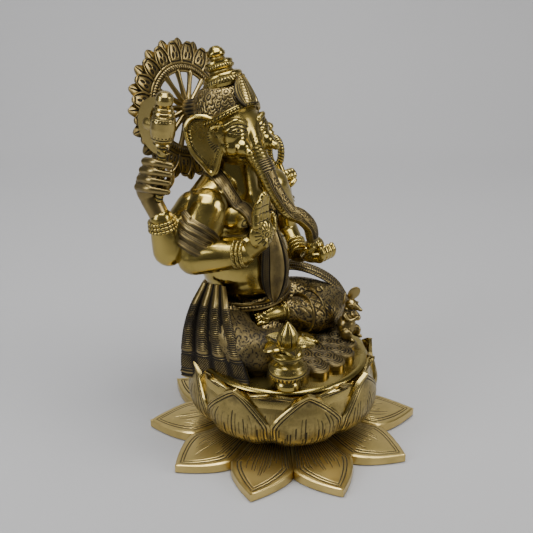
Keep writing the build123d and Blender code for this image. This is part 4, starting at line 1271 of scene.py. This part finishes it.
def crown():
    """The chased dome, the corded brow band, the crest leaf and the tiers of the finial."""

    def dome_shape(s, t):
        angle = 2 * pi * s
        x0, y0, z0 = crown_rim(angle)
        rise = np.sin(t * pi / 2) ** 0.94
        shrink = 1 - 0.5 * (1 - np.cos(t * pi / 2)) ** 1.05
        z = z0 + (34.0 - z0) * rise
        return head_point(x0 * shrink, -0.5 + (y0 + 0.5) * shrink, z)

    def dome_relief(s, t):
        u, v = s * 150, t * 27
        across, up = np.mod(u, 15) - 7.5, v - 13
        reach = np.hypot(across, up)
        field = flower(across, up, 6.0, 6, 0.42)
        leaves = swirls(u + 7.5, v - 4, 5.0, 1.9, 0.34)
        rails = np.maximum(line(v - 22.2, 0.4), line(v - 24, 0.4))
        cut = np.maximum(np.maximum(field, leaves * (reach > 6.6) * 0.9) * (v < 21.5) * (v > 2), rails)
        return 0.7 * bump(reach, 0, 6.5) - 0.5 * cut, cut

    settle("crown_dome", sheet(300, 70, dome_shape, dome_relief, thick=2.0), AGED)

    def band_shape(s, t):
        x, y, z = crown_rim(2 * pi * s, lift=-2.0 + 4.2 * t, grow=0.8)
        return head_point(x, y, z)

    def band_relief(s, t):
        cords = bump(t, 0.12, 0.13) + bump(t, 0.88, 0.13)
        twist = stripes(s * 130 + t * 3, 1.0, 0.2) * np.clip(cords, 0, 1)
        pearls = humps(s, 28) * bump(t, 0.5, 0.26)
        cut = np.maximum(line(t - 0.25, 0.04), line(t - 0.75, 0.04))
        gaps = (1 - humps(s, 28)) * bump(t, 0.5, 0.3)
        height = 0.7 * cords + 0.7 * pearls - 0.3 * twist - 0.3 * cut
        return height, np.clip(np.maximum(cut, gaps) + 0.6 * twist, 0, 1)

    settle("crown_band", sheet(340, 24, band_shape, band_relief, thick=2.4), POLISHED)

    def crest_shape(s, t):
        side = 2 * s - 1
        width = 9.5 * np.sin(pi * (0.16 + 0.84 * t) ** 0.9) ** 0.55
        x = side * width
        z = 17 + 22.0 * t - 1.0 * side**2
        y = -27.5 + 5.0 * t**1.5 + 4.0 * side**2 * np.sin(pi * t)
        return head_point(x, y, z)

    def crest_relief(s, t):
        side = np.abs(2 * s - 1)
        edge = line(side - 0.74, 0.07)
        inner = line(side - 0.56, 0.05)
        rib = line(side, 0.06) * (t > 0.1) * (t < 0.8)
        veins = stripes(t * 10 - side * 1.6, 1.0, 0.12) * (side < 0.5)
        cut = deepest(edge, inner, rib, veins * 0.7) * 0.8
        return 0.7 * ramp(0.75, 0.9, side) - 0.3 * cut, cut

    settle("crown_crest", sheet(44, 60, crest_shape, crest_relief, thick=2.2), BRIGHT)

    axis = unit(vec(0, 9, 22))
    base = vec(0, 58.6, 265.2)
    outline = [(0, -2), (15.0, -2), (16.0, 0.6), (15.6, 3.0), (14.4, 4.2), (15.0, 5.4), (14.4, 7.2),
               (12.0, 8.4), (9.0, 9.2), (8.6, 10.6), (10.2, 11.6), (10.6, 13.2), (10.0, 14.4), (10.6, 15.4),
               (10.4, 17.0), (8.2, 18.2), (5.6, 19.0), (5.4, 20.2), (6.8, 21.6), (6.9, 23.4), (5.6, 26.0),
               (3.2, 28.4), (0, 29.2)]

    def beads(s, t):
        low = bump(t, 0.335, 0.04) * humps(s, 20)
        high = bump(t, 0.60, 0.035) * humps(s, 16)
        gaps = bump(t, 0.335, 0.05) * (1 - humps(s, 20)) + bump(t, 0.60, 0.04) * (1 - humps(s, 16))
        return 0.5 * (low + high), np.clip(gaps, 0, 1)

    settle("crown_finial", turned(outline, base, axis, around=160, along=130, relief=beads), POLISHED)


# ------------------------------------------------------------------ halo
def halo_point(u, v, w):
    """Across, up and forward in the halo's own plane."""
    return head_point(u, HALO_BEHIND - np.asarray(w, float), HALO_ABOVE + np.asarray(v, float))


def halo_leaf(turn, inner, outer, half_width, forward, flowered):
    """One arched leaf of the border, outlined and with a small flower."""

    def shape(s, t):
        side = 2 * s - 1
        reach = inner + (outer - inner) * t
        across = side * half_width * (0.78 + 0.22 * ramp(0, 0.35, t)) * (1 - t**2.6) ** 0.62
        raised = forward + 1.1 * (1 - side**2) * np.sin(pi * t)
        return halo_point(*swung(across, reach, -turn), raised)

    def relief(s, t):
        side = np.abs(2 * s - 1)
        if not flowered:
            rib = line(side, 0.14) * (t > 0.3)
            return -0.3 * rib, rib
        edge = np.maximum(side, ramp(0.6, 1.0, t))
        frame_line = np.maximum(line(edge - 0.72, 0.07), line(t - 0.10, 0.025) * (side < 0.7))
        buds = [line(np.hypot((side - out) * 0.9, t - up) - 0.085, 0.05)
                for out, up in ((0.0, 0.62), (0.26, 0.36))]
        cut = np.clip(deepest(frame_line, *buds), 0, 1)
        return 0.8 * ramp(0.72, 0.85, edge) - 0.5 * cut, np.clip(cut + 0.45 * ramp(0.95, 1.0, side), 0, 1)

    return sheet(30, 34, shape, relief, thick=2.0)


def halo():
    """The wheel behind the head: leaf border, roped ring, spokes and hub."""
    step = 2 * pi / HALO_LEAVES
    meshes = []
    for n in range(HALO_LEAVES):
        meshes.append(halo_leaf(n * step, 35.0, 52.6, 7.6, 1.2, True))
        meshes.append(halo_leaf((n + 0.5) * step, 40.0, 54.8, 6.2, -1.0, False))

    def plate(s, t):
        angle = 2 * pi * s
        r = 33.5 + 12.5 * t
        return halo_point(r * np.sin(angle), r * np.cos(angle), np.full_like(r, -0.6))

    meshes.append(sheet(120, 6, plate, thick=1.6))
    settle("halo_leaves", joined(meshes), AGED, gain=1.2)

    def ring(radius, wire, forward, twists, cut_depth):
        def shape(s, t):
            a, b = 2 * pi * s, -2 * pi * t
            r = radius + wire * np.cos(b)
            return halo_point(r * np.sin(a), r * np.cos(a), forward + wire * 0.8 * np.sin(b))

        def relief(s, t):
            strand = stripes(s * twists + t * 1.4, 1.0, 0.2)
            return -cut_depth * strand, strand * (1.0 if cut_depth else 0)

        return sheet(320, 14, shape, relief)

    rings = [ring(32.2, 2.3, 1.2, 92, 0.6), ring(35.6, 1.0, 1.2, 1, 0.0), ring(29.4, 1.3, 0.6, 1, 0.0)]
    settle("halo_rope", joined(rings), AGED)

    spokes = []
    for n in range(HALO_SPOKES):
        a = 2 * pi * n / HALO_SPOKES
        ends = [halo_point(r * sin(a), r * cos(a), 0.5 + 2.6 * (1 - r / 29)) for r in (5.0, 13.0, 22.0, 29.4)]
        spokes.append(tube(ends, [2.8, 2.1, 1.9, 2.4], 16, 24))
    settle("halo_spokes", joined(spokes), AGED)
    axis = halo_point(0, 0, 1) - halo_point(0, 0, 0)
    hub = [(0, -3), (6.4, -3), (8.0, -1.6), (8.6, 0.6), (7.6, 3.4), (6.8, 9), (7.0, 18), (8.2, 27),
           (9.6, 36), (0, 36)]

    def flutes(s, t):
        low = bump(t, 0.4, 0.2)
        return 0.35 * np.cos(s * 2 * pi * HALO_SPOKES) * low, 0.4 * low

    settle("halo_hub", turned(hub, halo_point(0, 0, 0), axis, around=112, along=60, relief=flutes), AGED)


# ------------------------------------------------------------------ what the hands hold
def axe():
    """Handle, drum-shaped socket with punched dots, knob with its eye, and the crescent blade."""
    palm = ARMS["rear_right"][-1]
    low, high = palm + (0, -8, -4), palm + (0, -14, 38)
    axis = unit(high - low)

    def wraps(s, t):
        turns = stripes(t * 16 + s, 1.0, 0.2)
        return -0.3 * turns, turns

    settle("axe_handle", tube([low, high], [3.0, 3.6], 36, 90, wraps), POLISHED)
    outline = [(0, 0), (5.4, 0), (6.6, 1.4), (5.8, 2.6), (6.6, 3.6), (7.8, 5.0), (8.6, 8.5), (8.9, 13),
               (8.6, 18), (7.8, 21.5), (6.8, 22.6), (7.6, 23.6), (7.2, 24.8), (6.0, 25.4), (6.6, 26.6),
               (6.0, 27.8), (4.6, 28.4), (5.8, 30.4), (6.3, 33), (5.6, 36), (3.4, 38.2), (0, 38.8)]

    def punched(s, t):
        column = np.mod(s * 20, 1) - 0.5
        rows = [np.hypot(column * 2.6, (t - place) * 62) for place in (0.275, 0.505)]
        dots = np.clip(1.35 - np.minimum(*rows) / 0.6, 0, 1)
        bands = np.maximum(line(t - 0.245, 0.008), line(t - 0.535, 0.008))
        eye = line(np.hypot((np.mod(s + 0.32, 1) - 0.5) * 34, (t - 0.83) * 62), 1.5)
        shallow = np.maximum(dots, bands)
        return -0.5 * shallow - 1.6 * eye, np.maximum(shallow, eye)

    barrel = turned(outline, high - axis * 2, axis, around=200, along=150, relief=punched)
    settle("axe_socket", barrel, BRIGHT, gain=0.9)
    middle = high + axis * 12

    def blade_shape(s, t):
        swing = radians(-112) + radians(224) * t
        outer = 20.0
        inner = 7.5 + 12.0 * np.abs(2 * t - 1) ** 1.8
        r = inner + (outer - inner) * s
        y = 2.5 + r * np.cos(swing)
        return middle + np.stack((np.full_like(y, -0.5), y, r * np.sin(swing)), -1)

    def bevelled(s, t):
        return 1.2 * np.sin(pi * s), 0.5 * line(s - 0.2, 0.05)

    web = clay([limb([middle + (0, 4, 0), middle + (0, 13, 0)], [4.6, 5.5])], 0.7, 2)
    blade = sheet(26, 90, blade_shape, bevelled, thick=2.4)
    back = sheet(26, 90, lambda s, t: blade_shape(1 - s, t) - vec(0.6, 0, 0), bevelled, thick=1.4)
    settle("axe_blade", joined([blade, back, web]), BRIGHT)


def noose():
    """The looped noose with its ringed knob."""
    palm = ARMS["rear_left"][-1]
    base = palm + (0, 2, 7)
    centre = base + (0, 7.5, 15)

    def twisted(s, t):
        twist = stripes(t * 34 + s * 2, 1.0, 0.2)
        return -0.4 * twist, twist

    around_loop = [centre + (0, 6.4 * cos(a), 11.5 * sin(a)) for a in np.linspace(-pi / 2, 1.5 * pi, 17)]
    loop = tube(around_loop, [3.0] * 5, 28, 150, relief=twisted)
    knob = [(0, 0), (3.4, 0), (4.6, 1.2), (3.6, 2.6), (4.4, 3.8), (3.4, 5.2), (3.0, 6.2), (4.8, 8.4),
            (4.4, 10.8), (2.4, 12.6), (0, 13.2)]
    top = turned(knob, base + (0, 12.5, 26), (0, 0.35, 1), around=48, along=60)
    stem = tube([base + (0, -4, -12), base + (0, 0, -2), base + (0, 4, 5)], [3.0, 3.2, 3.4], 28, 40)
    settle("noose", joined([loop, top, stem]), POLISHED, gain=1.2)


def sweet():
    """The round sweet on the open palm, peaked in the middle."""
    outline = [(0, -2), (5.4, -1), (7.2, 2), (7.4, 4), (6.2, 6.6), (4.4, 8.4), (2.2, 10.4), (0.8, 12.2),
               (0, 12.6)]

    def ribs(s, t):
        rib = stripes(s * 16, 1.0, 0.16) * bump(t, 0.6, 0.35)
        return -0.35 * rib, rib

    centre = ARMS["front_left"][-1] + (0, 0, 4)
    settle("sweet_bowl", turned(outline, centre, around=96, along=50, relief=ribs, smooth=True), POLISHED)


# ------------------------------------------------------------------ cast cloth
def between(first, second, s, t):
    """Points between two edge curves."""
    a, b = flow(first, t), flow(second, t)
    return a + (b - a) * s[:, None]


def right_sash():
    """The pleated sash over the right thigh: ribbed folds above a hatched and bordered end."""
    rear = [(-42, 46, 124), (-52, 49, 108), (-58, 51, 90), (-60, 53, 68), (-60, 54, 48)]
    front_edge = [(-37, 26, 125), (-45, 14, 112), (-52, 2, 98), (-57, -10, 80), (-58, -18, 63)]
    folds = 4

    def pleat(s):
        return np.abs(np.sin((s + 0.03) * pi * folds * 0.94)) ** 0.9

    def shape(s, t):
        points = between(front_edge, rear, s, t)
        depth = 1.0 + 2.8 * ramp(0.0, 0.35, t) - 2.2 * ramp(0.62, 0.82, t)
        points[:, 0] -= depth * pleat(s)
        points[:, 1] -= 0.4 * depth * pleat(s)
        return points

    def relief(s, t):
        crest = ramp(0.5, 0.95, pleat(s))
        ribs = stripes(t * 52, 1.0, 0.26) * crest * ramp(0.2, 0.26, t) * ramp(0.7, 0.66, t)
        slants = stripes(s * 34 + t * 36, 1.0, 0.2) * (1 - crest) * ramp(0.15, 0.3, t) * ramp(0.7, 0.62, t)
        hatch = np.maximum(stripes(s * 30 + t * 36, 1.0, 0.17), stripes(s * 30 - t * 36, 1.0, 0.17))
        hatch = hatch * (t > 0.75) * (t < 0.89)
        rails = sum(line(t - place, 0.008) for place in (0.715, 0.74, 0.90, 0.925, 0.96, 0.98))
        valley = (1 - pleat(s)) ** 2.5
        cut = np.clip(deepest(ribs, slants, hatch, rails), 0, 1)
        return -0.6 * cut + 0.6 * bump(t, 0.94, 0.03), np.clip(cut + 1.2 * valley + 0.12, 0, 1)

    settle("right_sash", sheet(190, 150, shape, relief, thick=3.0), AGED, gain=0.8)


def ribbed_strip(points, widths, facing, ribs, lift, across, along, ticks):
    """A strip of parallel braids along a free path."""
    share, spine, tangent, _, _ = path_frames(points)
    face = unit(vec(*facing) - np.sum(vec(*facing) * tangent, 1)[:, None] * tangent)
    side = np.cross(tangent, face)

    def shape(s, t):
        base, u, v = along_path(t, share, spine, side, face)
        width = flow(widths, t) / 2
        hill = lift * np.abs(np.sin(s * pi * ribs)) ** 0.6
        return base + u * ((2 * s - 1) * width)[:, None] + v * (hill + 1.4 * np.sin(pi * s))[:, None]

    def relief(s, t):
        crest = np.abs(np.sin(s * pi * ribs))
        lean = np.where(np.mod(np.floor(s * ribs), 2) > 0, 1.0, -1.0)
        cut = stripes(t * ticks + lean * np.mod(s * ribs, 1) * 0.9, 1.0, 0.2) * ramp(0.3, 0.6, crest)
        return -0.35 * cut, np.clip(cut + (1 - crest) ** 3, 0, 1)

    return sheet(across, along, shape, relief, thick=2.4)


def left_sash():
    """The braided sash that arches from the left side over the knee."""
    path = [(40, 42, 112), (50, 30, 112), (60, 15, 107), (68, 2, 97), (72, -6, 82), (70, -12, 66.5)]
    braids = ribbed_strip(path, [15, 17, 18, 18, 17, 15], facing=(0.35, -0.55, 0.8), ribs=4, lift=1.3,
                          across=56, along=150, ticks=46)
    settle("left_sash", braids, AGED)


def front_scarf():
    """The pointed scarf end over the belly, with a braided border."""
    top, tip = vec(-5, 9, 168), vec(-9, 2, 109)

    def shape(s, t):
        side = 1 - 2 * s
        width = 12.0 * np.sin(pi * (0.20 + 0.80 * t) ** 1.6) ** 0.6
        spine = top + (tip - top) * t[:, None]
        across = side * width
        bow = 5.0 * np.sin(pi * t)
        return spine + np.stack((0.92 * across, -0.36 * across + 0.02 * across**2 - bow, 0 * t), -1)

    def relief(s, t):
        side = np.abs(2 * s - 1)
        border = ramp(0.56, 0.62, side)
        braid = stripes(t * 40 + side * 5, 1.0, 0.26) * border
        rails = np.maximum(line(side - 0.56, 0.04), line(side - 0.95, 0.03))
        veil = stripes(s * 26, 1.0, 0.13) * (side < 0.55) * 0.45
        cut = deepest(braid, rails, veil)
        return 1.1 * border * ramp(1.0, 0.9, side) - 0.4 * cut, np.clip(cut + 0.15, 0, 1)

    settle("front_scarf", sheet(76, 120, shape, relief, thick=2.6), AGED, gain=0.8)


def band_on(tree, points, width, clear, relief, across=24, along=110):
    """A band laid on a surface along a path near it."""
    share = np.linspace(0, 1, 60)
    spine = laid_on(flow(points, share), tree, clear)
    spine = flow(spine[::4], share)
    ahead = unit(np.gradient(spine, axis=0))
    outward = unit(spine - laid_on(spine, tree, -4.0))
    side = unit(np.cross(ahead, outward))

    def shape(s, t):
        base, u, v = along_path(t, share, spine, side, outward)
        x = (2 * s - 1) * width / 2
        return base + u * x[:, None] - v * (0.022 * x**2)[:, None]

    return sheet(across, along, shape, relief, thick=1.8)


def collar(tree):
    """The bordered band that comes down both sides of the chest."""

    def relief(s, t):
        side = np.abs(2 * s - 1)
        rails = np.maximum(line(side - 0.84, 0.05), line(side - 0.62, 0.05))
        fill = stripes(t * 52 + side * 1.5, 1.0, 0.2) * (side < 0.56) * 0.8
        cut = np.maximum(rails, fill)
        return 0.9 * ramp(0.84, 0.95, side) * ramp(1.02, 0.97, side) - 0.35 * cut, np.clip(cut, 0, 1)

    bands = []
    for side in (RIGHT, LEFT):
        path = [(side * 17, 62, 204), (side * 23, 44, 202), (side * 20, 26, 190), (side * 12, 14, 176),
                (side * 4, 8, 164)]
        bands.append(band_on(tree, path, 11.5, 0.9, relief))
    settle("collar_sash", joined(bands), AGED)


def shawl():
    """The pleated shawl drawn across the upper right arm."""
    shoulder, elbow = ARMS["front_right"][:2]
    upper_arm = limb([shoulder, (shoulder + elbow) / 2 - (3, 0, 0), elbow], ARM_RADII["front_right"][:3])
    tree = surface_tree(clay([upper_arm, ball((0, 48, 168), (37, 24, 27))], 1.2, 8))

    def relief(s, t):
        side = np.abs(2 * s - 1)
        rails = np.maximum(line(side - 0.66, 0.07), line(side - 0.28, 0.06))
        ticks = stripes(t * 44 + 2 * s, 1.0, 0.2) * (side > 0.34) * (side < 0.6)
        cut = np.maximum(rails, ticks * 0.8)
        return 1.4 * (1 - side**2) - 0.35 * cut, np.clip(cut + ramp(0.85, 1.0, side), 0, 1)

    bands = []
    for n in range(4):
        drop = n * 7.6
        path = [(-64, 52, 188 - drop), (-68, 38, 186 - drop), (-62, 26, 180 - drop),
                (-50, 20, 170 - drop * 0.8), (-38, 22, 158 - drop * 0.4)]
        bands.append(band_on(tree, path, 5.6 if n % 2 else 6.8, 0.8, relief, 20, 120))
    settle("shoulder_shawl", joined(bands), AGED)


# ------------------------------------------------------------------ making
lotus_foot()
lotus_petals()
seat()
foot_mat()
pot()
mouse()
hips()
belt()
legs()
hem()
foot("left_foot", ANKLE_LEFT, vec(-12, 10, 96), 8.2, vec(0, -0.5, 0.86))
foot("right_foot", ANKLE_RIGHT, vec(13, -14, 74), 7.6, vec(0, 0, 1))
chest = torso()
for arm_name in ARMS:
    arm(arm_name)
bangles("front_right", 3, False)
bangles("rear_right", 3, True)
bangles("front_left", 4, False)
bangles("rear_left", 3, False)
open_palm()
axe_hand()
cupped_hand()
noose_hand()
head()
ear("right_ear", RIGHT)
ear("left_ear", LEFT)
tusk("right_tusk", RIGHT, 7.0)
tusk("left_tusk", LEFT, 9.0)
trunk()
crown()
halo()
axe()
noose()
sweet()
right_sash()
left_sash()
front_scarf()
collar(chest)
shawl()

for name, finish in (("lotus_bowl", BRIGHT), ("tie_bolt", STEEL), ("tie_washer", STEEL)):
    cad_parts[name].data.materials.clear()
    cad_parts[name].data.materials.append(finish)


# ------------------------------------------------------------------ stage, light and camera
def studio_paper():
    """Matte grey paper with a faint unevenness."""
    material = bpy.data.materials.new("Studio paper")
    material.use_nodes = True
    nodes, links = material.node_tree.nodes, material.node_tree.links
    shader = nodes["Principled BSDF"]
    place = nodes.new("ShaderNodeTexCoord")
    cloud = nodes.new("ShaderNodeTexNoise")
    cloud.inputs["Scale"].default_value = 1.4
    links.new(place.outputs["Object"], cloud.inputs["Vector"])
    tone = nodes.new("ShaderNodeMix")
    tone.data_type = "RGBA"
    low, high, mixed = MIX_SOCKETS["RGBA"]
    tone.inputs[low].default_value = (0.375, 0.375, 0.386, 1)
    tone.inputs[high].default_value = (0.425, 0.425, 0.432, 1)
    links.new(cloud.outputs["Fac"], tone.inputs[0])
    links.new(tone.outputs[mixed], shader.inputs["Base Color"])
    shader.inputs["Roughness"].default_value = 0.9
    return material


def sweep():
    """A paper sweep: floor, curve and wall behind the statue, square to the camera."""
    back = unit(vec(0.6889, 0.6043, 0))
    side = vec(-back[1], back[0], 0)
    outline = [(-2200, 0), (-400, 0), (500, 0), (800, 30), (1000, 160), (1100, 420), (1120, 900),
               (1120, 2400)]

    def shape(s, t):
        ahead, up = flow(outline, t).T
        across = (2 * s - 1) * 2600
        return side * across[:, None] + back * ahead[:, None] + vec(0, 0, 1) * up[:, None]

    bm = bmesh.new()
    bmesh.ops.create_grid(bm, x_segments=20, y_segments=90, size=0.5)
    mesh = bpy.data.meshes.new("sweep_mesh")
    bm.to_mesh(mesh)
    bm.free()
    grid = mesh_points(mesh)
    set_points(mesh, (shape(grid[:, 0] + 0.5, grid[:, 1] + 0.5) - vec(0, 0, 0.05)) * MM)
    mesh.shade_smooth()
    mesh.materials.append(studio_paper())
    add_object("paper_sweep", mesh)


def softbox(name, place, aim, size, power, tint=(1, 1, 1)):
    """One soft rectangular lamp, aimed at a point."""
    lamp = bpy.data.lights.new(name, "AREA")
    lamp.shape = "RECTANGLE"
    lamp.size, lamp.size_y = size
    lamp.energy = power
    lamp.color = tint
    obj = bpy.data.objects.new(name, lamp)
    obj.location = place
    obj.rotation_euler = (Vector(aim) - Vector(place)).to_track_quat("-Z", "Y").to_euler()
    bpy.context.scene.collection.objects.link(obj)


def studio():
    """Soft light from above and both sides, and a dim grey room for the metal to mirror."""
    world = bpy.data.worlds.new("Studio room")
    bpy.context.scene.world = world
    world.use_nodes = True
    world.node_tree.nodes["Background"].inputs["Color"].default_value = (0.28, 0.28, 0.27, 1)
    world.node_tree.nodes["Background"].inputs["Strength"].default_value = 0.34
    softbox("overhead", (-0.1, -0.1, 1.3), (0, 0, 0.1), (0.9, 0.9), 16.0, (1.0, 0.99, 0.97))
    softbox("left_window", (-1.1, 0.35, 0.75), (0, 0, 0.15), (0.5, 0.9), 9.0, (0.97, 0.98, 1.0))
    softbox("right_fill", (0.55, -1.2, 0.7), (0, 0, 0.12), (0.5, 0.8), 9.0, (1.0, 0.97, 0.93))
    softbox("wall_wash", (0.1, 0.3, 1.6), (0.8, 0.8, 0.4), (1.2, 0.6), 14.0)


def camera():
    """The camera, above and to the figure's right, with a long lens."""
    eye = Vector((-0.4756, -0.4056, 0.4074))
    ahead = Vector((0.6889, 0.6043, -0.4003))
    lens = bpy.data.cameras.new("camera")
    lens.sensor_width = 36
    lens.lens = 60.8
    lens.clip_start = 0.01
    obj = bpy.data.objects.new("camera", lens)
    obj.location = eye
    obj.rotation_euler = ahead.to_track_quat("-Z", "Y").to_euler()
    bpy.context.scene.collection.objects.link(obj)
    bpy.context.scene.camera = obj


sweep()
studio()
camera()
